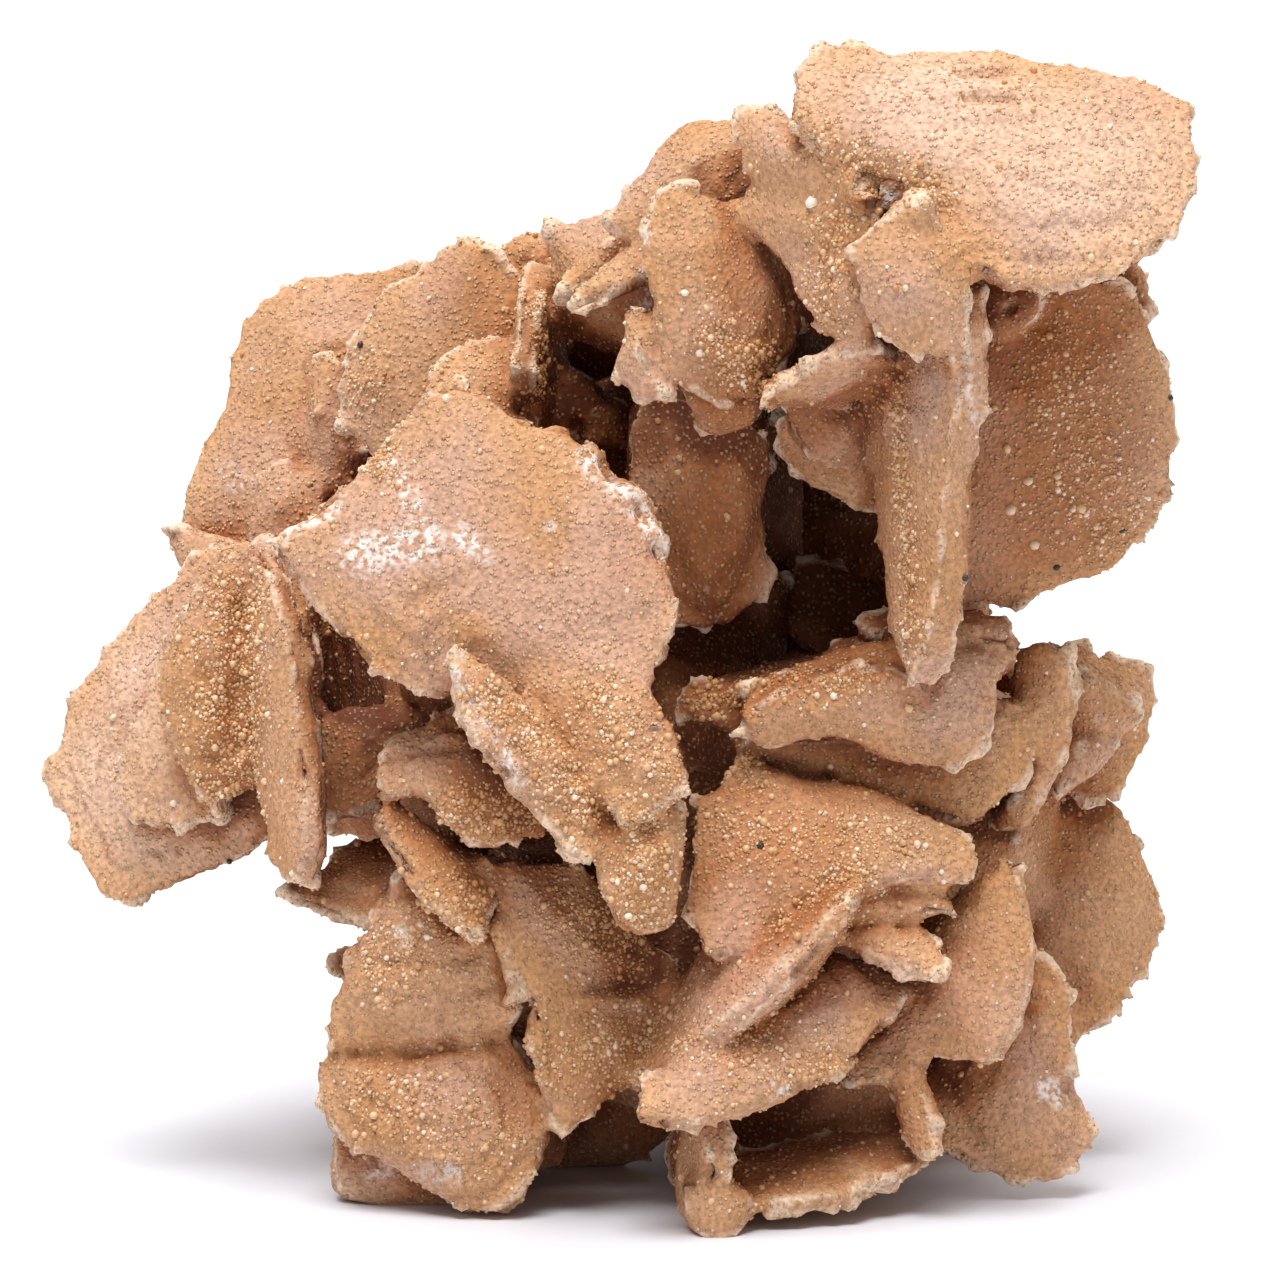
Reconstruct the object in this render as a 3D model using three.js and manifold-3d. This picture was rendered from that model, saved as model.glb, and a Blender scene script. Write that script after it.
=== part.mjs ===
// Gypsum sand rose: a cluster of lens-shaped crystal blades grown together in dune sand.
// Millimetres, +Z up, the front looks along +Y. The origin is on the ground under the middle.

import * as THREE from 'three';
import { mergeVertices } from 'three/addons/utils/BufferGeometryUtils.js';
import Module from 'manifold-3d';

const wasm = await Module();
wasm.setup();

// Front sheet: an upright sheet of paper through the origin, square to the line of sight.
// The outlines of the blades that show in front are given on it as [across, up] in millimetres.
const VIEW_TILT = THREE.MathUtils.degToRad(8);
const VIEW_DISTANCE = 420;
const SHEET_CENTRE = [1.06, 34.75];

// The feet of the cluster stand on one plane, at this height above the sheet's own zero.
const GROUND = 1.2;

// A blade is a lens: thin at its rim, full at its middle.
const RIM = 0.8;
const SHOULDER_CORNERS = 13;
const SHOULDER_STEP = 3;
const SHOULDER_REACH = 0.6;
const SHOULDER_FULLNESS = 0.84;
const PLATE_CORNERS = 8;
const PLATE_WAVE = 0.07;

const across = new THREE.Vector3(1, 0, 0);
const upward = new THREE.Vector3(0, Math.sin(VIEW_TILT), Math.cos(VIEW_TILT));
const away = new THREE.Vector3(0, Math.cos(VIEW_TILT), -Math.sin(VIEW_TILT));
const eye = onSheet(SHEET_CENTRE).addScaledVector(away, -VIEW_DISTANCE);

// A point of the front sheet in space
function onSheet([a, b]) {
  return across.clone().multiplyScalar(a).addScaledVector(upward, b);
}

// The line from the eye through a point of the front sheet
function sightline(point) {
  return new THREE.Ray(eye, onSheet(point).sub(eye).normalize());
}

// The place at a given depth (Y) that the eye sees at a point of the front sheet
function place(point, depth) {
  const plane = new THREE.Plane(new THREE.Vector3(0, 1, 0), -depth);
  return sightline(point).intersectPlane(plane, new THREE.Vector3());
}

// Twice the area of an outline, positive where it runs anticlockwise, and the middle of that area
function measure(outline) {
  let area = 0;
  let x = 0;
  let y = 0;
  outline.forEach(([ax, ay], i) => {
    const [bx, by] = outline[(i + 1) % outline.length];
    const cross = ax * by - bx * ay;
    area += cross;
    x += (ax + bx) * cross;
    y += (ay + by) * cross;
  });
  return { area, middle: [x / (3 * area), y / (3 * area)] };
}

// A point in space
function spot(x, y, z) {
  return new THREE.Vector3(x, y, z);
}

// A closed mesh from points and triangles, as a solid with its faces pointing out
function solidFrom(points, triangles) {
  const vertProperties = new Float32Array(points.flatMap((p) => [p.x, p.y, p.z]));
  const triVerts = new Uint32Array(triangles.flat());
  return new wasm.Manifold(new wasm.Mesh({ numProp: 3, vertProperties, triVerts }));
}

// A three.js geometry as a solid
function solidOf(geometry) {
  geometry.deleteAttribute('normal');
  geometry.deleteAttribute('uv');
  const merged = mergeVertices(geometry);
  const vertProperties = merged.getAttribute('position').array;
  return new wasm.Manifold(new wasm.Mesh({ numProp: 3, vertProperties, triVerts: merged.getIndex().array }));
}

// The triangles between an outer ring of points and an inner ring that has one for every few
function bandBetween(outer, inner) {
  const faces = [];
  outer.forEach((corner, i) => {
    const last = i + 1 === outer.length;
    const next = outer[last ? 0 : i + 1];
    const near = inner[Math.floor(i / SHOULDER_STEP)];
    const far = inner[last ? 0 : Math.floor((i + 1) / SHOULDER_STEP)];
    faces.push([corner, next, near]);
    if (near !== far) faces.push([next, far, near]);
  });
  return faces;
}

// The triangles from a ring of points to one point
function fanTo(ring, top) {
  return ring.map((corner, i) => [corner, ring[(i + 1) % ring.length], top]);
}

// A lens on a rim of points about a middle, anticlockwise when seen against its normal. Its
// back runs straight from the rim to the middle, and so does the front of a small blade. The
// front of a larger one rises over a shoulder.
function lens(rimPoints, middle, normal, thick, rim) {
  const points = [];
  const add = (base, lift) => points.push(base.clone().addScaledVector(normal, lift)) - 1;
  const front = rimPoints.map((p) => add(p, rim / 2));
  const back = rimPoints.map((p) => add(p, -rim / 2));
  const frontTop = add(middle, thick / 2);
  const triangles = fanTo([...back].reverse(), add(middle, -thick / 2));
  if (rimPoints.length < SHOULDER_CORNERS) {
    triangles.push(...fanTo(front, frontTop));
  } else {
    const shoulder = rimPoints.filter((_, i) => i % SHOULDER_STEP === 0)
      .map((p) => add(middle.clone().lerp(p, SHOULDER_REACH), (thick * SHOULDER_FULLNESS) / 2));
    triangles.push(...bandBetween(front, shoulder), ...fanTo(shoulder, frontTop));
  }
  front.forEach((corner, i) => {
    const next = (i + 1) % front.length;
    triangles.push([corner, back[i], back[next]], [corner, back[next], front[next]]);
  });
  return solidFrom(points, triangles);
}

// A blade that shows its face in front: its outline is what the eye sees of it on the front
// sheet, its middle lies at a depth, and its face looks along a given direction.
function seen(depth, faces, thick, outline, rim = RIM) {
  const { area, middle: centre } = measure(outline);
  const middle = place(centre, depth);
  const normal = new THREE.Vector3(...faces).normalize();
  const plane = new THREE.Plane().setFromNormalAndCoplanarPoint(normal, middle);
  const rimPoints = outline.map((p) => sightline(p).intersectPlane(plane, new THREE.Vector3()));
  if (area < 0) rimPoints.reverse();
  return lens(rimPoints, middle, normal, thick, rim);
}

// A blade that stands edge-on or is out of sight: a wavy lens about a middle, with its length
// along one direction and its face looking along another.
function plate(middle, along, faces, length, width, thick, rim = RIM) {
  const normal = new THREE.Vector3(...faces).normalize();
  const lengthwise = new THREE.Vector3(...along).projectOnPlane(normal).normalize();
  const sideways = normal.clone().cross(lengthwise);
  const phase = length * 1.7 + width * 2.3;
  const rimPoints = Array.from({ length: PLATE_CORNERS }, (_, i) => {
    const turn = (i / PLATE_CORNERS) * 2 * Math.PI;
    const wave = 1 + PLATE_WAVE * (Math.sin(3 * turn + phase) + Math.sin(5 * turn - phase));
    return middle.clone()
      .addScaledVector(lengthwise, (wave * Math.cos(turn) * length) / 2)
      .addScaledVector(sideways, (wave * Math.sin(turn) * width) / 2);
  });
  return lens(rimPoints, middle, normal, thick, rim);
}

// A lump of the sandy mass that the blades grow out of
function lump(middle, reach) {
  const solid = new THREE.IcosahedronGeometry(1, 0);
  solid.scale(...reach);
  solid.translate(middle.x, middle.y, middle.z);
  return solidOf(solid);
}

const crown = [
  // Broad top blade, lit from above
  seen(-13, [0.15, -0.8, 0.55], 4, [[10.2, 69.6], [12.5, 71.3], [14.8, 71.8], [16.5, 70.9], [22, 71.6],
    [29, 70.4], [33, 69.5], [35.5, 68], [36, 64.5], [35.3, 61], [33, 58.2], [29, 56.8], [24.5, 56.3],
    [22.5, 57], [20.8, 59.5], [18.5, 62], [15.5, 64.5], [12, 65.3], [10, 67]]),
  // Long blade that hangs edge-on from it, down to a point
  seen(-12.5, [-0.88, -0.47, 0.05], 3.6, [[17, 62], [19.5, 62], [21.3, 58], [22, 54], [21.8, 49],
    [21.2, 44], [20.6, 39], [20, 35], [18.7, 31.6], [17.7, 34], [17.1, 38], [16.6, 42], [15.9, 46],
    [15.4, 50], [15.6, 55], [16, 59]], 2.2),
  // Small plate in front of all others
  seen(-17.6, [-0.1, -0.95, 0.1], 4, [[14.1, 59], [14.6, 56.6], [15.2, 54.6], [16.3, 53.2], [18.5, 52.1],
    [20.6, 51.8], [21.6, 53.5], [21.6, 57], [20.5, 60], [18.6, 62], [16.5, 61.2], [15, 60.5]]),
  // Shingled slope that faces left, in three steps
  seen(-12, [-0.55, -0.8, 0.2], 3.4, [[7, 67.5], [7.1, 65.8], [7.8, 64], [9.2, 62.9], [11.3, 62],
    [14, 62], [16, 63.5], [14, 65.5], [11.5, 66.5], [9.3, 68.2]]),
  seen(-12.5, [-0.55, -0.8, 0.1], 3.4, [[7.1, 61.9], [7.6, 60.7], [8.9, 59.3], [9.9, 58.2], [11.4, 57.6],
    [14, 58], [16.5, 60], [15.5, 63], [11, 63.5], [8.5, 63.5]]),
  seen(-14, [-0.5, -0.85, 0], 3.4, [[10.2, 57.5], [10.9, 56], [12, 54.6], [13.2, 53.7], [14.8, 53.5],
    [16.5, 54.5], [17.5, 58], [15.5, 60.5], [12, 60]]),
  // Left plate of the crown, turned a little to the right
  seen(-10, [0.35, -0.9, 0.1], 3.6, [[1.9, 63], [3.5, 63.4], [5.2, 62.9], [7.2, 62], [9, 59.5], [10.8, 57],
    [11.5, 54], [9.5, 51.5], [8, 49.6], [6.2, 49.1], [4.4, 50.2], [2.8, 51.9], [2, 54], [1.2, 57.8],
    [0.8, 60.4]]),
  // Sandy shoulder behind it
  seen(-4, [-0.2, -0.85, 0.5], 4, [[-1.4, 60.1], [-0.5, 61.4], [1.1, 63.6], [2, 65.5], [3.6, 66.7],
    [4.6, 67.7], [6.5, 67.1], [9, 67.8], [10.5, 66], [8, 62], [4, 60.5], [1, 59.8]]),
  // Wedge that shows its underside, and the scallops in its shade
  seen(-12, [0.15, -0.5, -0.85], 2.6, [[8, 50], [10.5, 51.4], [13, 52.7], [16.2, 53.5], [17.8, 52.3],
    [16, 50.6], [13.5, 49.7], [10.5, 49.5]]),
  seen(-7, [0.1, -0.95, -0.2], 2.6, [[9.6, 50], [9.7, 48.6], [10.5, 47.2], [11.3, 46.2], [12.5, 45.9],
    [14, 45.5], [15.5, 46], [16.8, 47.5], [17, 50], [14, 51.5], [11, 51]]),
  seen(-4.8, [0.1, -0.95, -0.2], 3, [[9.3, 48.5], [9.6, 46.5], [10.3, 45.4], [11.8, 44.3], [14, 43],
    [16, 42.7], [17, 45], [16.5, 49], [12, 50]]),
  // Small plates at its left, and two wedges that point left
  seen(-10.3, [-0.3, -0.9, 0.2], 3.6, [[-0.1, 56], [1.5, 56.2], [2.5, 54], [3, 51.5], [3.2, 49.8],
    [0.9, 49.6], [0.2, 50.3], [-0.8, 51.3], [-0.4, 52.4], [0, 54]]),
  seen(-5, [-0.3, -0.5, 0.8], 2.6, [[-3.9, 55.2], [-2.8, 56.3], [-1, 57.9], [0.8, 59.5], [2.5, 61],
    [5, 61], [4, 58.6], [1.2, 57.2], [-1, 56.1]]),
  seen(-0.5, [-0.2, -0.7, 0.65], 2.8, [[-4.3, 56], [-3.4, 57.5], [-2.6, 58.9], [-1, 60.2], [1, 61.4],
    [3, 61], [1.5, 59], [-0.5, 57.8], [-2.5, 56.4]]),
];

const rightDisc = [
  // Big disc under the crown, and the thin layers on it
  seen(-5, [0.15, -0.95, -0.15], 4.4, [[22, 57.5], [28, 58], [31, 57.3], [33, 55.3], [34.2, 52],
    [34.7, 48], [34.2, 45], [33, 42.3], [31.2, 39.6], [28.5, 38.2], [24.5, 37.2], [21, 36.6], [18, 38],
    [16.5, 43], [16.5, 50], [18, 55]]),
  seen(-6.6, [0.15, -0.95, -0.15], 2.4, [[21, 57.5], [25, 57], [26.5, 55.7], [27, 53], [26.7, 50],
    [25.5, 48.5], [23, 48.5], [21, 50]]),
  seen(-8.2, [0.1, -0.95, 0.1], 2.6, [[22.2, 57], [26.2, 56.8], [26.5, 55.6], [25.8, 54.5], [24.3, 53.8],
    [22.2, 53.6]]),
  seen(1, [0.3, -0.9, 0.2], 2.6, [[29, 58], [32.8, 58], [33.1, 56.8], [32.9, 55.2], [31.8, 55.3],
    [29.5, 55.5]]),
];

const upperLeft = [
  // Broad blade far back
  seen(16, [-0.2, -0.9, 0.35], 4.4, [[-12, 58], [-16, 58], [-19, 57.7], [-21.5, 56.8], [-23.3, 55.4],
    [-24.2, 53], [-24.9, 51], [-25, 49.4], [-26.2, 47.6], [-27, 45], [-27.7, 42], [-27, 39.5],
    [-24, 37], [-18, 38], [-13, 42], [-10, 50]]),
  // Sandy ridges that cross it
  seen(13.4, [-0.4, -0.85, 0.2], 3, [[-19.3, 52.3], [-18, 53.2], [-17, 50.5], [-17, 46.5],
    [-18.4, 44.8], [-19.8, 46.5]]),
  seen(12, [-0.3, -0.85, 0.3], 2.6, [[-23.6, 41], [-22.6, 45], [-21, 46.2], [-19, 45], [-18.5, 42],
    [-21, 39.5]]),
  seen(12.6, [-0.3, -0.9, 0.2], 3, [[-28.2, 41.9], [-27.4, 41.9], [-24, 41], [-23, 38], [-26, 37.5],
    [-27.8, 38.7], [-28.4, 40.3]]),
  // Orange blade in front of it, and its neighbour at the right
  seen(7, [-0.25, -0.93, 0.2], 3.6, [[-17.5, 47.5], [-17.5, 50.5], [-16.8, 53.4], [-15.7, 55.8],
    [-14, 57.3], [-12, 58.2], [-9.5, 59.9], [-8.5, 59.8], [-7, 58], [-5.8, 56.4], [-5.2, 53],
    [-5.5, 49], [-8, 46], [-13, 44.5]]),
  seen(12, [0, -0.9, 0.4], 3, [[-8, 59.3], [-6.6, 60.4], [-5.8, 60.6], [-4.9, 60.2], [-2.8, 60.1],
    [-1, 60], [0, 58.5], [-2, 57], [-4, 56], [-6, 56], [-7.5, 57.5]]),
  // Upright ridge seen edge-on, and the fins beside it
  plate(place([-5.2, 52.5], 6), [0.05, 0, 1], [0.98, -0.12, 0], 11.5, 15, 2.6, 1.6),
  seen(0, [0.05, -0.85, 0.45], 2.8, [[-13.8, 48.8], [-12.3, 51], [-11.2, 52.2], [-9.5, 53], [-8, 53.5],
    [-6.8, 53.9], [-6, 53.5], [-5.4, 50], [-6, 47.5], [-9, 46.5], [-12, 46.5]]),
  seen(5, [0.2, -0.9, 0.2], 2.6, [[-4.4, 52.3], [-3.4, 52], [-2, 50.9], [0, 49.6], [1.5, 48], [0.5, 46],
    [-2.5, 46.5], [-4.6, 48.6]]),
];

const middleBlades = [
  // Big middle blade, the largest face of the front
  seen(-12, [-0.1, -0.95, 0.25], 4.4, [[-22.4, 40.8], [-20.3, 41.9], [-17, 44.8], [-14.3, 47.9],
    [-12.2, 50.2], [-10, 51.1], [-8.4, 49.9], [-7, 48.5], [-4.5, 48.2], [-2, 47.6], [-1.2, 46],
    [1.3, 43.6], [2.7, 40.8], [2.6, 39.3], [3.6, 36.9], [3.3, 34.6], [2, 32], [-2, 30], [-8, 30.5],
    [-12.5, 31.2], [-15.6, 33], [-17.8, 34.9], [-20, 37.6], [-21.6, 39.9]], 1.2),
  // Grooved pair in front of it: two blades that meet in a valley
  seen(-17, [0.45, -0.85, 0.3], 3.2, [[-10.4, 34.4], [-10.7, 32.8], [-10, 30], [-9.3, 28.3], [-7.4, 25.9],
    [-5.2, 23.5], [-3.2, 21.3], [-1.5, 21], [-0.6, 23.5], [-2, 26.5], [-5, 29.8], [-8, 33.2]], 1),
  seen(-15.5, [-0.2, -0.93, 0.3], 3.4, [[-9, 34], [-5, 36.5], [-3, 36.9], [-1.6, 36.1], [0.3, 33.8],
    [2.3, 31], [3.6, 29.9], [4.2, 27.5], [4.2, 25.2], [2.5, 24], [0, 23], [-2, 25.5], [-5, 29.3]], 1),
  // Sandy tail under the pair
  seen(-16, [0, -0.98, 0.1], 6, [[-1.5, 22.5], [0, 24], [3, 25], [4.1, 24.5], [3.8, 21], [3.6, 19],
    [3.2, 17], [2.4, 16.5], [0.4, 16.3], [-0.6, 17.2], [-1.8, 20]], 2.4),
  // Plates at its left, one behind the other
  seen(-11, [0, -0.9, 0.35], 3, [[-15.9, 25.6], [-15.4, 27.5], [-13.8, 28.8], [-12, 29.9], [-10, 30.4],
    [-7, 28], [-4, 24], [-4.3, 22.3], [-6.5, 22], [-9.5, 21.8], [-11, 22.3], [-11.7, 24.2], [-13, 25.2],
    [-14.6, 25]]),
  seen(-3, [0, -0.8, 0.6], 4, [[-19.5, 24.2], [-18.5, 23.6], [-16.8, 23.9], [-15.5, 24.4], [-13.5, 25.2],
    [-11, 28], [-12, 31.5], [-15, 30.8], [-17.5, 30.5], [-19.5, 30]]),
];

const leftCluster = [
  // Big pale blade at the far left
  seen(2, [-0.3, -0.93, 0.2], 4, [[-36.2, 27], [-34.9, 28.8], [-34, 31.2], [-32, 34.4], [-29.5, 37.4],
    [-27, 40], [-24, 41.3], [-20, 40], [-18.5, 34], [-18.5, 27], [-20, 22.8], [-22.5, 21.7],
    [-24.2, 20.6], [-27.5, 19.2], [-31.5, 18.1], [-32.9, 18.6], [-34, 21], [-35.2, 24.3]]),
  // Orange blade and sandy blade stacked on it
  seen(-1, [-0.3, -0.9, 0.2], 3.6, [[-31.7, 24.4], [-31.4, 26.8], [-30.3, 30], [-29.2, 33], [-27.5, 37],
    [-25, 37], [-24, 30], [-25, 24], [-28.5, 22.5], [-30.5, 23]]),
  seen(-4, [0.1, -0.97, 0.1], 4.2, [[-23.8, 41.2], [-26, 39.5], [-27.7, 37], [-28.3, 34.3], [-29, 32],
    [-28.9, 29.8], [-28, 27.4], [-26.7, 25.1], [-25, 24.1], [-23.5, 24.8], [-21.8, 27], [-21, 32],
    [-21, 38], [-22.3, 41]], 1),
  // Upright blade seen edge-on between the left cluster and the middle
  seen(-6.6, [-0.85, -0.52, 0.05], 3, [[-22.4, 40.8], [-21.3, 38.6], [-20.6, 36], [-20, 33], [-19.5, 29],
    [-19.1, 24.5], [-19.1, 21], [-19.8, 19.6], [-20.8, 19.8], [-21.4, 22], [-22.2, 26], [-22.8, 31],
    [-23.4, 36], [-23.2, 39.6]], 1.6),
  // Plate under it with its upper face in shade, and a tip behind
  seen(-4, [-0.1, -0.45, 0.88], 2.6, [[-21.8, 19.1], [-19.5, 20], [-17, 21.5], [-13, 23], [-8.5, 21],
    [-9, 17.5], [-16.3, 16.9], [-18.2, 17.3], [-20, 18]]),
  seen(5, [0, -0.7, 0.7], 3, [[-18.6, 14.2], [-17.5, 15.2], [-16.4, 16.4], [-13, 17], [-11, 14],
    [-14, 11.5], [-17.4, 13]]),
];

const lowerLeft = [
  // Cross-ridged group: four plates that meet in a cross
  seen(-9.5, [-0.1, -0.98, 0], 4, [[-14, 20.2], [-15.5, 17.8], [-16.6, 15.2], [-17.4, 13.4],
    [-19.1, 10.8], [-18.5, 9.5], [-14, 9], [-9, 9.6], [-6.3, 10.5], [-7, 14], [-8, 18], [-8.7, 21.5],
    [-11.5, 21]]),
  seen(-9.5, [-0.1, -0.95, 0.25], 4.6, [[-18.9, 9.2], [-19, 6], [-18.2, 4], [-16.5, 3], [-15, 2.5],
    [-12, 0.5], [-10, -0.9], [-7.6, -0.9], [-6.3, 0.2], [-5.2, 2.2], [-4.6, 4], [-5, 8], [-6.5, 10],
    [-11, 10], [-16, 9.4]], 1.4),
  seen(-9.5, [0.3, -0.92, 0.2], 3.6, [[-8.6, 21.5], [-6, 21.2], [-3, 21], [-1, 19], [1, 17], [3.3, 14.5],
    [4.2, 13], [2, 12.3], [-2, 11.6], [-5.5, 10.8], [-7, 14]]),
  seen(-10.5, [0.15, -0.95, 0.15], 3.6, [[-5.5, 11], [-2, 12.4], [1.5, 13.3], [4, 13.5], [3.4, 10],
    [1.5, 7.5], [-1, 5.8], [-2.2, 4.4], [-4, 3.6], [-4.9, 4.5], [-5.3, 8]]),
  // Foot behind its lower edge
  seen(-6.2, [0, -0.95, 0.2], 5, [[-18.1, 3.5], [-18.2, 1.2], [-17.8, 0], [-14, -1], [-10, -1], [-8, 3],
    [-12, 7], [-17, 6]], 2),
  // Diagonal blade that leans on the group
  seen(-11.5, [0.45, -0.65, 0.6], 2.4, [[-16, 23.9], [-15, 22], [-13.8, 20], [-12, 18], [-10.3, 16.5],
    [-9.2, 16], [-8.2, 18], [-8.5, 21], [-10, 21.5], [-12, 22.8], [-14, 24.5], [-15.6, 24.8]], 1),
  // Undersides that show low behind the group
  seen(2, [0, -0.85, -0.5], 3.4, [[-6, 0.8], [-4.5, 1], [-2.5, 1.4], [0, 2], [2, 2.8], [3.7, 4.2],
    [3, 7], [-1, 8], [-4, 7], [-6, 4]]),
];

const lowerMiddle = [
  // Long diagonal blade that turns its edge to the front
  plate(place([8.2, 14.4], -11), [0.71, 0, 0.7], [-0.69, -0.12, 0.71], 21.5, 13, 6.2, 1.2),
  // Plate under it, with its face turned up
  seen(-14, [0.1, -0.78, 0.62], 3.2, [[0, 5], [1.6, 3.9], [4, 4.3], [8, 5.4], [11, 6.3], [13.5, 7.3],
    [15.2, 8.8], [17, 11.2], [17.8, 12.8], [16, 14.5], [12.5, 15], [8, 12], [4, 9], [1, 7]], 1),
  seen(-9, [0.1, -0.8, 0.6], 2.4, [[13, 6.5], [15.3, 7.1], [17.5, 7.1], [19.6, 8.2], [20, 10],
    [18, 12.5], [15, 12], [13, 9]]),
  // Fan above it
  seen(-11.5, [0, -0.87, 0.48], 4, [[4.2, 24.8], [6, 25.3], [7.2, 27.7], [8.9, 26.8], [11, 26.4],
    [14.2, 26], [17.3, 24.9], [20.4, 23.4], [22.2, 22], [22.9, 20.5], [21.5, 19.4], [17, 19.3],
    [13, 18], [10, 16.5], [7, 15], [4.5, 14.5], [4, 19.5]], 1),
  // Ledges under the fan
  seen(-12, [0.05, -0.5, 0.86], 1.8, [[13, 19], [15.5, 19.3], [18.5, 19], [21, 18.4], [21.5, 17.8],
    [19, 17.5], [16, 17.6], [13.5, 17.5]]),
  seen(-12.5, [0.05, -0.7, 0.7], 2.2, [[13.5, 17.5], [16, 17.4], [18.5, 16.9], [19.6, 16.2], [20.5, 14.6],
    [20, 13.7], [17.5, 14], [15, 15.3], [13, 16]]),
  // Disc at its right, with a pale rim
  seen(-10.5, [-0.35, -0.9, 0.2], 3.4, [[22.3, 20], [23.8, 21.9], [24.9, 21], [25.4, 18.8], [25.9, 15.8],
    [25.5, 12.8], [24.6, 10], [23.4, 8], [22, 8.3], [19.5, 8.5], [17, 9.5], [16, 12], [17, 15.5],
    [19.5, 18]], 1.2),
];

const lowerRight = [
  // Plate at the right of the base
  seen(-5, [0.1, -0.95, 0.25], 4, [[28, 9.2], [28.2, 6.8], [29.3, 4.5], [29, 2.5], [28, 1.2], [25, 1],
    [22, 1.7], [19.5, 2.5], [18.5, 5], [19, 8.5], [21, 12], [24, 13], [26.5, 12]]),
  // Narrow lens above it
  seen(-5.5, [-0.15, -0.95, 0.1], 2.6, [[25.9, 15.8], [27.1, 14.6], [27.9, 12.5], [28.3, 10], [28, 7.8],
    [26.5, 7.5], [24, 9.5], [24.4, 13]]),
  // Hollow under the base: a foot at its left, a floor blade, a right wall and a back
  plate(place([4.9, 2.2], -12), [0.02, 0, 1], [-0.97, -0.2, 0], 13, 10, 2.6, 1.5),
  seen(-15, [0.1, -0.95, 0.2], 4.4, [[3.7, 1], [3.7, -1], [4.3, -2.2], [5.5, -3], [6.8, -2.8],
    [7.8, -1.6], [8.4, -0.4], [7.5, 0.6], [5.6, 1.2]], 2.6),
  seen(-11, [0.05, -0.35, 0.93], 2.4, [[5.5, 0.2], [8.5, -0.7], [11, -0.6], [14.5, 0], [17.5, 1.2],
    [19.5, 2.3], [19.8, 3.2], [17, 3.8], [13, 3.4], [9, 2.6], [6, 1.8]], 1),
  seen(-11, [-0.6, -0.78, 0.1], 2.2, [[18.7, 7.6], [19.4, 6.2], [19.9, 4.6], [19.8, 3], [19.2, 2.2],
    [17.8, 3.5], [17, 6], [17, 9.5], [18.4, 9]], 1),
  seen(-4, [0, -0.9, -0.3], 4, [[4, 9], [4, 1.4], [12, 1.2], [19, 2.6], [20, 6], [17, 10], [10, 11]]),
];

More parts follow.
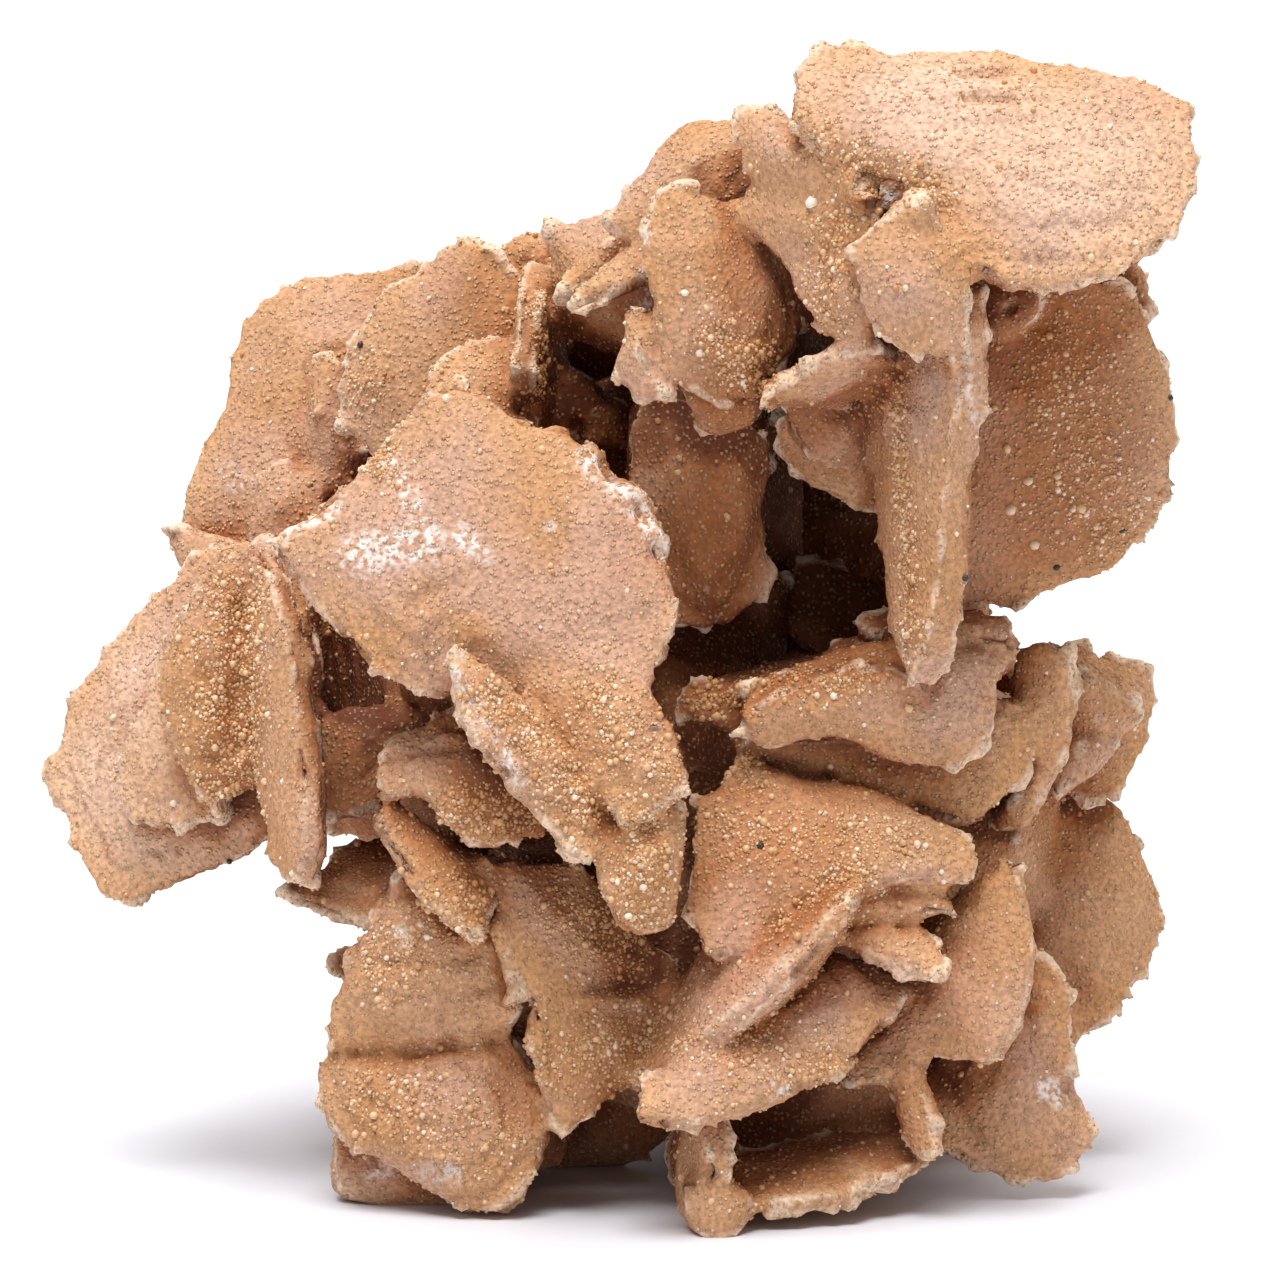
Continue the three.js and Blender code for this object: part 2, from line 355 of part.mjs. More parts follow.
const rightCluster = [
  // Curved lens at the shoulder, and its tail
  seen(-4.6, [-0.45, -0.87, 0.1], 2.8, [[26.6, 35.3], [27.8, 34.3], [28.5, 32.8], [28.2, 30], [27.7, 27.3],
    [26.6, 25], [25, 26], [24.8, 29], [24.3, 31.5], [24.2, 33.2], [25.3, 34.7]]),
  seen(-5, [-0.45, -0.85, 0.25], 2.6, [[27, 26.3], [26.4, 24.6], [25, 23], [24.2, 22.2], [23, 22.3],
    [23, 23.6], [24, 25.4], [25.4, 27]]),
  // Blades behind it at the right
  seen(5, [0.3, -0.9, 0.3], 4, [[27.5, 34.6], [28.6, 34.5], [29.7, 33.5], [31.3, 33.6], [32.8, 32.7],
    [33.5, 31], [32.8, 29.2], [32.3, 27], [31.5, 25.5], [29, 24.5], [26, 26], [25.5, 31]]),
  seen(2.4, [0.2, -0.85, -0.45], 3, [[28.4, 33.1], [30, 32], [32, 30.9], [32.4, 29.6], [31, 28.8],
    [27.8, 28.4], [27, 31]]),
  seen(1.6, [0.1, -0.75, 0.6], 3, [[28.2, 29.4], [31, 29.2], [31.2, 28], [30, 26.8], [28.3, 25.5],
    [26.9, 24.5], [26, 25.5], [26.5, 27.3]]),
  // Dark disc under the hanging blade, with a crest in front and a crescent below
  seen(-9.5, [0.1, -0.92, 0.3], 3.8, [[23.3, 33.6], [23.8, 32.3], [23.5, 30], [22.8, 28.2], [20.5, 26.7],
    [18.7, 26.4], [16.5, 27.1], [14, 28.4], [10, 29], [7, 29.5], [7.5, 32], [12, 34], [18, 35]]),
  seen(-11, [0.05, -0.96, -0.2], 2.6, [[6.5, 29.2], [8, 30.7], [10, 31.9], [12.5, 32.9], [15, 33.4],
    [17.8, 33.2], [19, 31], [17, 29.5], [13, 28.6], [9, 28]]),
  seen(-7, [0, -0.8, 0.5], 3, [[2.9, 31], [5, 32], [8, 32.3], [10.3, 32.7], [11.5, 31.5], [8.5, 29.6],
    [5, 29], [3, 29.8]]),
  seen(-7, [0.1, -0.9, 0.35], 3.6, [[23.5, 31.5], [25.3, 30.5], [26, 28.3], [25.5, 26.8], [24.6, 25.2],
    [23, 23.6], [21.9, 22.6], [20, 23], [17, 24.4], [13, 25.5], [13, 28], [18, 30]]),
  // Ledges between the disc and the big right disc
  seen(-6.5, [0, -0.5, 0.85], 1.8, [[14.2, 35.8], [16, 36.2], [19, 36.4], [22.5, 36.3], [24.6, 35.6],
    [24.7, 34.3], [22, 34.6], [18, 34.4], [15.5, 34.9]]),
  seen(-7, [0, -0.8, 0.5], 2.2, [[17, 33.2], [20.5, 34.6], [23, 34.7], [25.4, 34.1], [25.4, 33.4],
    [24.3, 32.6], [21, 32.4]]),
  seen(-6.3, [-0.2, -0.8, 0.55], 2.4, [[11.2, 33], [13, 34.6], [14.8, 34.9], [17.5, 34.2], [17.5, 31],
    [14, 31]]),
  // Right-hand disc low down, and the layer behind it
  seen(4, [0.1, -0.92, 0.3], 4, [[30.3, 25.5], [31.5, 24.3], [32.5, 22.3], [32.9, 20], [32.6, 17],
    [32, 14.8], [31.3, 12.7], [30, 10.4], [28.3, 9.3], [26, 10], [24, 14], [23, 19], [24, 23],
    [27, 25.5]]),
  seen(5.2, [0.2, -0.92, 0.2], 3, [[32.2, 21.4], [33.4, 19.5], [33.8, 17.3], [33.5, 15], [32.8, 13.8],
    [31, 13], [28.5, 16], [29.5, 20]]),
];

const cavity = [
  // Brown plate in the middle hollow, its ledge, and a plate deep behind it
  seen(-3.5, [0.15, -0.97, 0.1], 5, [[1.5, 50.3], [0.3, 48.7], [0.1, 46.5], [0.4, 43.5], [1, 40],
    [2, 36], [5, 35], [7.5, 36], [8.8, 37.5], [9, 40], [8.6, 43], [9.5, 46], [8.8, 48.2], [6, 49.3],
    [3.5, 50]]),
  seen(-8.5, [0, -0.9, -0.3], 3.6, [[3.5, 52.4], [8.5, 52.6], [9, 48.2], [7, 47.3], [5, 47.3],
    [4, 48]]),
  seen(9.5, [0, -0.95, 0.2], 2.6, [[11, 40], [14.8, 39], [16.8, 38.2], [19, 36], [17, 33], [12, 33],
    [9.5, 36]]),
];

const back = [
  // Blades that carry the crown and close it behind
  plate(spot(20, -1, 62), [1, 0.2, 0], [0.1, 0.75, 0.65], 27, 17, 4),
  plate(spot(26, 6, 54), [0.2, 0.95, 0.2], [0.95, -0.2, 0.2], 20, 18, 3.6),
  plate(spot(13, 8, 57), [0, 0.7, 0.7], [-0.9, 0.3, 0.1], 24, 16, 3.6),
  plate(spot(7, 14, 51), [1, 0, 0.2], [-0.1, 0.8, 0.6], 25, 17, 4),
  plate(spot(18, 12, 47), [0.8, 0.5, 0.1], [0.3, 0.5, 0.8], 22, 16, 3.6),
  plate(spot(13, 18, 39), [0.9, 0.1, 0.3], [0.2, 0.9, -0.3], 19, 16, 3.6),
  // Right side, low down
  plate(spot(23, 12, 24), [0.1, 0.5, 0.86], [0.85, 0.5, 0], 21, 17, 3.8),
  plate(spot(20, 18, 17), [0.85, -0.3, 0.4], [0.3, 0.75, -0.6], 20, 15, 3.6),
  plate(spot(18, 11, 8), [0.5, 0.85, 0], [0.35, -0.1, 0.95], 23, 17, 4),
  // Middle of the back
  plate(spot(-7, -4, 25), [1, 0, 0.2], [0.1, 0.5, 0.85], 16, 16, 4),
  plate(spot(0, 23, 35), [1, 0.1, 0.2], [0, 0.85, 0.5], 27, 22, 4.6),
  plate(spot(-5, 18, 44), [0.2, 0.3, 1], [-0.6, 0.8, 0.1], 23, 17, 3.8),
  plate(spot(9, 23, 23), [0.7, -0.2, -0.7], [0.35, 0.9, 0.3], 24, 16, 3.8),
  plate(spot(-7, 22, 19), [1, 0.2, 0.3], [-0.2, 0.6, 0.75], 24, 18, 4.2),
  plate(spot(3, 25, 27), [0, 0.3, 1], [0.95, 0.2, 0.1], 23, 17, 3.6),
  plate(spot(-2, 22, 11), [0.9, 0.1, -0.3], [0.2, 0.55, -0.8], 22, 15, 3.6),
  // Left side
  plate(spot(-19, 10, 33), [0.2, 0.6, 0.75], [-0.85, 0.5, 0.1], 25, 18, 3.8),
  plate(spot(-13, 17, 40), [0.8, 0.2, 0.5], [-0.4, 0.8, 0.4], 23, 17, 4),
  plate(spot(-9, 11, 13), [0.4, 0.85, 0.2], [-0.7, 0.2, 0.7], 20, 15, 3.8),
  // Feet behind, cut flat by the ground
  plate(spot(11, 16, 6), [0.3, 0.3, 1], [0.4, 0.9, 0], 17, 16, 4.4, 1.4),
  plate(spot(-9, 13, 7), [0.3, -0.2, 1], [-0.7, 0.7, 0.1], 18, 16, 4.4, 1.4),
];

// Sandy mass in the middle that the blades grow out of, with a rib up behind the hanging blade
const mass = [
  lump(spot(-4, 8, 30), [17, 13, 15]),
  lump(spot(7, 10, 19), [15, 13, 15]),
  lump(spot(3, 12, 43), [10, 8, 10]),
  lump(spot(-6, -1, 37), [9, 13, 10]),
  lump(spot(-25, -1, 31), [3, 5, 6]),
  lump(spot(-10, -2, 6), [8, 6, 6]),
  lump(spot(3, 1, 14), [15, 8, 10]),
  lump(spot(13, -2, 30), [11, 8, 5]),
  lump(spot(16, 1, 9), [11, 6, 6]),
  lump(spot(19, 4, 23), [10, 8, 12]),
  lump(spot(19, -2, 59), [11, 8, 8]),
  lump(spot(3, 4, 57), [9, 6, 6]),
  lump(spot(4.5, 2, 45), [5, 6, 9]),
  lump(spot(19.5, 3, 42), [4, 9, 20]),
];

const parts = [crown, rightDisc, upperLeft, middleBlades, leftCluster, lowerLeft, lowerMiddle, lowerRight,
  rightCluster, cavity, back, mass];

// The ground, which cuts the feet flat
function groundBlock() {
  return new THREE.BoxGeometry(200, 200, 40).translate(0, 0, GROUND - 20);
}

const grown = parts.flat().reduce((whole, blade) => whole.add(blade));
const rose = grown.subtract(solidOf(groundBlock()));
const mesh = rose.getMesh();
const geometry = new THREE.BufferGeometry();
geometry.setAttribute('position', new THREE.BufferAttribute(mesh.vertProperties, 3));
geometry.setIndex(new THREE.BufferAttribute(mesh.triVerts, 1));
geometry.computeVertexNormals();
geometry.computeBoundingBox();
const { x, y } = geometry.boundingBox.getCenter(new THREE.Vector3());
geometry.translate(-x, -y, -GROUND);

const group = new THREE.Group();
const sandRose = new THREE.Mesh(geometry,
  new THREE.MeshStandardMaterial({ color: 0xc69670, roughness: 0.85, metalness: 0 }));
sandRose.name = 'sand_rose';
group.add(sandRose);

export default group;
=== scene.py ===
"""Looks of a gypsum sand rose: crystal blades crusted with dune sand, on a white studio floor."""

import logging
import math
from dataclasses import dataclass
from enum import Enum
from itertools import combinations

import bpy
import numpy as np
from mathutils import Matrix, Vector
from mathutils.bvhtree import BVHTree
from mathutils.kdtree import KDTree

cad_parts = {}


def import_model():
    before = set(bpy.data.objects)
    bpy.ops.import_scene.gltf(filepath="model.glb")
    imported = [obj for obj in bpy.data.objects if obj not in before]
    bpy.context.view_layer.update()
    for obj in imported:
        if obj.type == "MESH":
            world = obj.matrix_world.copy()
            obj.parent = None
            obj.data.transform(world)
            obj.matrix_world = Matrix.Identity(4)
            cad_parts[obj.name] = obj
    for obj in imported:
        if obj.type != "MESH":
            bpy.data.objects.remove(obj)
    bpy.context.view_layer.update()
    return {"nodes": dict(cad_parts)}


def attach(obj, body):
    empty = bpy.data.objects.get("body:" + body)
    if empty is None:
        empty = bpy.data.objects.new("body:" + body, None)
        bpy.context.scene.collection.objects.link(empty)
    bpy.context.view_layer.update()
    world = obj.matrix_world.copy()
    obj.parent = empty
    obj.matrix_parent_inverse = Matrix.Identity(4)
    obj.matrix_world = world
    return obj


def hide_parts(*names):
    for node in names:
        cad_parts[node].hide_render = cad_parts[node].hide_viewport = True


LOG = logging.getLogger("sand_rose")
MM = 0.001
NODE = "sand_rose"
BODY = "root"
MOST_TRIANGLES = 196_000


class Mark(Enum):
    """Names of the values that the meshes carry for their materials."""

    RIM = "rim"
    # Thin stretches: painted warm glow
    GLOW = "glow"
    HOLLOW = "hollow"
    # Closed-in places: fewer grains there, and painted shade in the colours
    SHELTER_AND_SHADE = "shelter_and_shade"
    SAND = "sand"
    POWDER = "powder"
    PINK = "pink"
    OCHRE = "ochre"
    # Painted light on the outer blades
    PAINTED_LIGHT = "painted_light"
    # Rust colour, partly painted shade
    RUST_AND_SHADE = "rust_and_shade"
    SHADE = "shade"


def linear(code: str) -> tuple[float, float, float, float]:
    """Turns an sRGB colour into the linear one that a shader takes.

    Args:
        code: The colour as #RRGGBB.

    Returns:
        Linear red, green and blue, with an alpha of 1.
    """
    parts = (int(code[i : i + 2], 16) / 255 for i in (1, 3, 5))
    red, green, blue = (p / 12.92 if p <= 0.04045 else ((p + 0.055) / 1.055) ** 2.4 for p in parts)
    return red, green, blue, 1.0


def add_node(
    tree: bpy.types.NodeTree, kind: str, inputs: dict | None = None, **settings: object
) -> bpy.types.Node:
    """Adds a node with its settings, and links or sets its inputs.

    Args:
        tree: The material's node tree.
        kind: The node's type.
        inputs: Socket names or numbers, each with a value or the output that feeds it.
        **settings: The node's own properties.

    Returns:
        The new node.
    """
    node = tree.nodes.new(kind)
    for name, value in settings.items():
        setattr(node, name, value)
    for socket, value in (inputs or {}).items():
        if isinstance(value, bpy.types.NodeSocket):
            tree.links.new(value, node.inputs[socket])
        else:
            node.inputs[socket].default_value = value
    return node


def lattice_noise(points: np.ndarray, size_mm: float, seed: int) -> np.ndarray:
    """Gives smooth noise at points, the same at every run.

    Args:
        points: Places in metres, one a row.
        size_mm: The width of a bump in millimetres.
        seed: Which noise of that width it is.

    Returns:
        One value from -1 to 1 for each point.
    """
    cell = points / (size_mm * MM) + seed * 31.7
    base = np.floor(cell).astype(np.int64)
    part = cell - base
    part = part * part * (3 - 2 * part)
    total = np.zeros(len(points))
    for corner in np.ndindex(2, 2, 2):
        spot = base + np.array(corner)
        mixed = spot @ np.array([73856093, 19349663, 83492791]) + seed * 7919
        mixed = (mixed ^ (mixed >> 13)) * 1274126177 & 0xFFFFFFFF
        mixed = (mixed ^ (mixed >> 16)) * 668265263 & 0xFFFFFFFF
        weight = np.prod(np.where(corner, part, 1 - part), axis=1)
        total += weight * (mixed / 0x7FFFFFFF - 1)
    return total


def ramp(values: np.ndarray, low: float, high: float) -> np.ndarray:
    """Maps values to 0 at low and to 1 at high, easing at both ends."""
    part = np.clip((values - low) / (high - low), 0, 1)
    return part * part * (3 - 2 * part)


def evaluated_mesh(piece: bpy.types.Object) -> bpy.types.Mesh:
    """Gives a new mesh of a piece with its modifiers applied."""
    graph = bpy.context.evaluated_depsgraph_get()
    return bpy.data.meshes.new_from_object(piece.evaluated_get(graph))


def new_piece(name: str, mesh: bpy.types.Mesh) -> bpy.types.Object:
    """Puts a mesh into the scene as a piece.

    Args:
        name: The name that the piece and its mesh get.
        mesh: The mesh of the piece.

    Returns:
        The new piece.
    """
    mesh.name = name
    piece = bpy.data.objects.new(name, mesh)
    bpy.context.scene.collection.objects.link(piece)
    return piece


def write_mark(mesh: bpy.types.Mesh, mark: Mark, values: np.ndarray) -> None:
    """Stores one value for each vertex of a mesh, for its material to read."""
    layer = mesh.attributes.new(mark.value, "FLOAT", "POINT")
    layer.data.foreach_set("value", values.astype(np.float32))


def read_mark(mesh: bpy.types.Mesh, mark: Mark) -> np.ndarray:
    """Gives one of the values that a mesh carries.

    Args:
        mesh: The mesh that carries it.
        mark: Which of its values it is.

    Returns:
        The value at each vertex.
    """
    values = np.empty(len(mesh.vertices), dtype=np.float32)
    mesh.attributes[mark.value].data.foreach_get("value", values)
    return values


@dataclass(frozen=True)
class FrontSheet:
    """Upright sheet square to the line of sight, on which the front's details are placed."""

    tilt_deg: float = 8.0
    distance_mm: float = 420.0
    width_mm: float = 80.0
    centre_mm: tuple[float, float] = (1.0625, 34.75)
    origin_mm: tuple[float, float, float] = (1.0086, -6.7641, -1.2)

    def axes(self) -> tuple[Vector, Vector, Vector]:
        """Works out how the sheet stands.

        Returns:
            The directions to the right, up the sheet and away from the eye.
        """
        tilt = math.radians(self.tilt_deg)
        right = Vector((1, 0, 0))
        up = Vector((0, math.sin(tilt), math.cos(tilt)))
        return right, up, up.cross(right)

    def point(self, across: float, height: float) -> Vector:
        """Gives a point of the sheet in metres, from its place on it in millimetres."""
        right, up, _ = self.axes()
        return (Vector(self.origin_mm) + right * across + up * height) * MM

    def eye(self) -> Vector:
        """Gives the place of the eye in metres."""
        return self.point(*self.centre_mm) - self.axes()[2] * self.distance_mm * MM

    def seen(self, tree: BVHTree, across: float, height: float) -> Vector | None:
        """Finds what the eye sees through a point of the sheet.

        Args:
            tree: The surface that is looked at.
            across: The point's place along the sheet, in millimetres.
            height: The point's place up the sheet, in millimetres.

        Returns:
            The first place of the surface behind that point, or None.
        """
        eye = self.eye()
        hit = tree.ray_cast(eye, (self.point(across, height) - eye).normalized())
        return hit[0]


@dataclass(frozen=True)
class Stroke:
    """A stretch of the front, from one point of the front sheet to another, in millimetres."""

    start: tuple[float, float]
    end: tuple[float, float]
    reach_mm: float
    amount: float = 1.0

    def strength(self, sheet: FrontSheet, tree: BVHTree, points: np.ndarray) -> np.ndarray:
        """Measures how close points lie to the stroke.

        Args:
            sheet: The front sheet that the stroke is drawn on.
            tree: The surface that the stroke falls on.
            points: The points to measure, in metres.

        Returns:
            For each point, the stroke's amount on it, fading to 0 at its reach.
        """
        ends = [sheet.seen(tree, *spot) for spot in (self.start, self.end)]
        if None in ends:
            return np.zeros(len(points))
        first, last = (np.array(spot) for spot in ends)
        along = last - first
        share = np.clip((points - first) @ along / max(along @ along, 1e-12), 0, 1)
        gap = np.linalg.norm(points - first - share[:, None] * along, axis=1)
        return self.amount * (1 - ramp(gap, 0, self.reach_mm * MM))


@dataclass(frozen=True)
class OddGrain:
    """One grain that stands out, at a point of the front sheet in millimetres."""

    across: float
    height: float
    size_mm: float
    shade: float


# Dark ore grains, and the largest quartz grains: a shade of 0 is dark, 1 is clear
ODD_GRAINS = (
    OddGrain(-16.4, 53.2, 0.5, 0.0),
    OddGrain(34.2, 49.9, 0.45, 0.0),
    OddGrain(8.6, 21.9, 0.5, 0.0),
    OddGrain(21.4, 38.6, 0.5, 0.0),
    OddGrain(27.1, 39.3, 0.5, 0.0),
    OddGrain(31.2, 41.6, 0.45, 0.0),
    OddGrain(-24.6, 20.9, 0.45, 0.0),
    OddGrain(11.8, 62.1, 0.9, 1.0),
    OddGrain(25.3, 44.7, 0.8, 0.7),
    OddGrain(24.0, 46.7, 0.7, 0.6),
    OddGrain(24.2, 42.9, 0.75, 0.7),
    OddGrain(28.6, 43.0, 0.75, 0.6),
    OddGrain(25.7, 40.7, 0.7, 0.7),
)

# Grooves and ridges that are worn or grown into the blades: amount in millimetres, out is positive
CARVED = (
    # Sand that fills the gap under the crown
    Stroke((15.0, 62.9), (18.4, 61.7), 1.6, 1.1),
    # Scallops in the upper right rim of the middle blade
    Stroke((-6.2, 49.3), (-5.4, 49.0), 1.1, -1.1),
    Stroke((-2.9, 47.9), (-2.6, 47.6), 0.9, -0.9),
    Stroke((-0.9, 45.6), (-0.6, 45.2), 1.0, -1.1),
    Stroke((1.0, 43.0), (1.2, 42.6), 0.9, -0.9),
    Stroke((2.2, 40.6), (2.3, 40.2), 0.8, -0.8),
    # Sand that fills the pit in the cross of ridges
    Stroke((-7.2, 11.6), (-5.2, 9.6), 1.2, 0.6),
    # Two short grooves near the top
    Stroke((21.1, 69.9), (23.9, 70.1), 0.55, -0.45),
    Stroke((21.3, 68.5), (24.6, 68.4), 0.6, -0.45),
    # Cross of ridges and grooves at the lower left
    Stroke((-16.5, 9.0), (-11, 9.5), 1.0, -0.45),
    Stroke((-11, 9.5), (-8.0, 10.0), 1.0, -0.35),
    Stroke((-15.4, 14.4), (-9.4, 15.0), 0.9, -0.35),
    Stroke((-4.0, 12.5), (1.0, 13.6), 0.8, -0.3),
    Stroke((-8.6, 21), (-7.7, 17), 0.9, 0.6),
    Stroke((-7.7, 17), (-6.3, 12.6), 0.9, 0.7),
    Stroke((-6.3, 12.6), (-4.6, 6.5), 0.9, 0.7),
    Stroke((-15, 11.8), (-7, 12.6), 0.9, 0.5),
    Stroke((-6.3, 12.6), (1.6, 12.0), 0.8, 0.4),
    # Valley down the sandy blade at the left
    Stroke((-24.0, 37), (-24.2, 28), 1.2, -0.6),
    # Thin line across the plate in the middle
    Stroke((-14.6, 27.4), (-10.4, 28.0), 0.6, -0.35),
    # Faint ripples along the top blade
    Stroke((19.5, 66.6), (27.0, 67.2), 0.5, -0.15),
    Stroke((21.5, 65.0), (31.0, 65.6), 0.5, -0.15),
    Stroke((23.0, 62.8), (32.0, 62.9), 0.5, -0.12),
)

# Stretches that the sand has all but covered: amount is the share of the surface
SANDY = (
    Stroke((-24.3, 37), (-24.6, 26), 4.2),
    Stroke((-8.4, 31.4), (-2.4, 23.8), 2.4),
    Stroke((-1.5, 31), (2.4, 26), 3.4, 0.7),
    Stroke((1.4, 23), (1.2, 18), 3.0),
    Stroke((-10.4, 24), (-6.6, 24), 2.6),
    Stroke((0.6, 6.8), (14.5, 20.4), 2.6, 0.8),
    Stroke((-14.5, 15), (-9.4, 17.4), 4.0, 0.7),
    Stroke((-15, 6), (-8.4, 4), 3.6, 0.55),
    Stroke((-3.6, 17.6), (0.4, 14.8), 3.2, 0.8),
    Stroke((-3.6, 8.6), (0, 10.4), 3.2, 0.8),
    Stroke((13.2, 60.4), (12.8, 55.6), 3.0, 0.8),
    Stroke((6.0, 53.4), (8.4, 51.8), 2.6),
    Stroke((27.5, 51), (30.5, 42), 5.0, 0.45),
    Stroke((17.2, 50), (18.0, 34.5), 1.6),
    Stroke((10.4, 66.6), (19.4, 62.6), 2.4, 0.8),
    Stroke((6.6, 22.6), (17.4, 22.2), 3.0, 0.6),
    Stroke((4.4, 9.2), (12.6, 8.4), 3.0, 0.6),
    Stroke((-16.2, 51), (-15.0, 46), 2.6, 0.8),
    Stroke((-5.3, 56), (-5.2, 50), 1.6),
    Stroke((7.6, 27), (8.2, 25.4), 1.4),
    Stroke((5.5, 31), (14, 32.2), 2.0, 0.8),
)

# White gypsum powder on the faces and rims
POWDERED = (
    Stroke((-16.6, 40.2), (-12.4, 40.9), 2.1),
    Stroke((-14.6, 46), (-12.6, 42.4), 1.1, 0.8),
    Stroke((-10.2, 41.4), (-8.8, 40.0), 1.1, 0.8),
    Stroke((-5.0, 42.0), (-4.6, 41.8), 0.7, 0.6),
    Stroke((-2.2, 46), (0.4, 43.8), 1.3),
    Stroke((0.4, 43.8), (2.4, 40.4), 1.2),
    Stroke((-22.0, 40.8), (-17.4, 43.2), 0.9, 0.9),
    Stroke((-14.0, 16.2), (-13.7, 16.0), 1.0),
    Stroke((26.4, 6.7), (27.2, 6.2), 1.3, 0.9),
    Stroke((9.8, 6.9), (10.0, 6.7), 0.9),
    Stroke((16.6, 63.0), (16.8, 62.4), 0.7),
    Stroke((-10.4, 32.6), (-6.4, 26.0), 0.8, 0.8),
    Stroke((-15.6, 1.6), (-10.6, 1.6), 1.5, 0.5),
    Stroke((10.6, 68.2), (16.4, 63.2), 0.9, 0.7),
    Stroke((1.5, 60), (1.6, 56), 0.8, 0.7),
    Stroke((21.6, 56), (21.8, 48), 0.7, 0.6),
    Stroke((-25.0, 45.2), (-23.4, 44.2), 1.3, 0.5),
)

# Blades of pinker stone than the rest
BLUSHED = (
    Stroke((-15, 41), (-3, 38), 9.0, 0.9),
    Stroke((-13, 14), (-9, 6), 6.0, 0.6),
    Stroke((10, 59), (17, 52), 5.0, 0.7),
)
# Outer blades made lighter where they catch the back light: painted light
PAINTED_LIGHT = (
    Stroke((20, 68), (33, 62), 9.0),
    Stroke((-34, 26), (-27, 22), 7.0, 0.9),
    Stroke((-31, 34), (-29, 28), 5.0, 0.6),
    Stroke((11, 70), (16, 62), 5.0, 0.6),
)
# Rustier stone, partly painted shade where blades lie in the shadow of others, such as the disc
# under the crown
RUSTY_AND_SHADED = (
    Stroke((28, 53), (28, 41), 9.0, 0.9),
    Stroke((6, 50), (6, 36), 6.0, 0.8),
    Stroke((-14, 58), (-6, 55), 5.0, 0.6),
    Stroke((6, 32), (16, 34), 5.0, 0.6),
    Stroke((-22, 18), (-16, 20), 4.0, 0.7),
    Stroke((-24.2, 36), (-24.6, 26), 3.0, 0.6),
    Stroke((8, 22), (15, 17), 5.0, 0.5),
)


def part_of(mesh: bpy.types.Mesh, faces: np.ndarray) -> bpy.types.Mesh:
    """Copies some of the triangles of a mesh, with the normals and marks that they had in it.

    Args:
        mesh: The whole mesh, of triangles.
        faces: The numbers of the triangles.

    Returns:
        The new mesh.
    """
    flat = np.empty(len(mesh.polygons) * 3, dtype=np.int64)
    mesh.polygons.foreach_get("vertices", flat)
    used, corners = np.unique(flat.reshape(-1, 3)[faces], return_inverse=True)
    points, normals = np.empty((2, len(mesh.vertices) * 3))
    mesh.vertices.foreach_get("co", points)
    mesh.vertices.foreach_get("normal", normals)
    made = bpy.data.meshes.new("part")
    made.from_pydata(points.reshape(-1, 3)[used], [], corners.reshape(-1, 3))
    made.polygons.foreach_set("use_smooth", np.ones(len(faces), dtype=bool))
    made.normals_split_custom_set_from_vertices(normals.reshape(-1, 3)[used])
    for mark in Mark:
        if mark.value in mesh.attributes:
            write_mark(made, mark, read_mark(mesh, mark)[used])
    return made


class Surface:
    """A mesh's vertices and edges as arrays, with averaging over neighbours."""

    def __init__(self, mesh: bpy.types.Mesh) -> None:
        """Reads a mesh into arrays.

        Args:
            mesh: The mesh, which changes only when it is written.
        """
        self.mesh = mesh
        self.count = len(mesh.vertices)
        flat = np.empty(self.count * 3)
        mesh.vertices.foreach_get("co", flat)
        self.points = flat.reshape(-1, 3)
        ends = np.empty(len(mesh.edges) * 2, dtype=np.int64)
        mesh.edges.foreach_get("vertices", ends)
        self.edges = ends.reshape(-1, 2)
        self.links = np.maximum(np.bincount(ends, minlength=self.count), 1)

    def spread(
        self, values: np.ndarray, rounds: int, weight: float | np.ndarray = 0.5
    ) -> np.ndarray:
        """Mixes each value with the mean of its neighbours, several times over.

        Args:
            values: One value or one row for each vertex.
            rounds: How often it is done.
            weight: The share of the neighbours, for all vertices or for each.

        Returns:
            The mixed values, in the shape they came in.
        """
        table = values.reshape(self.count, -1).copy()
        share = np.broadcast_to(np.asarray(weight, dtype=float), (self.count,))
        one, other = self.edges.T
        for _ in range(rounds):
            for column in table.T:
                total = np.bincount(one, column[other], self.count)
                total += np.bincount(other, column[one], self.count)
                column += share * (total / self.links - column)
        return table.reshape(values.shape)

    def write(self) -> np.ndarray:
        """Puts the points back into the mesh.

        Returns:
            The normal at each of its vertices.
        """
        self.mesh.vertices.foreach_set("co", self.points.ravel())
        self.mesh.update()
        flat = np.empty(self.count * 3)
        self.mesh.vertices.foreach_get("normal", flat)
        return flat.reshape(-1, 3)


def search_tree(surface: Surface) -> BVHTree:
    """Gives a search tree over the faces of a mesh."""
    faces = [tuple(face.vertices) for face in surface.mesh.polygons]
    return BVHTree.FromPolygons(surface.points.tolist(), faces)


@dataclass(frozen=True)
class Stain:
    """A layer of colour that follows one of the values that the mesh carries."""

    mark: Mark
    low: float
    high: float
    most: float
    code: str


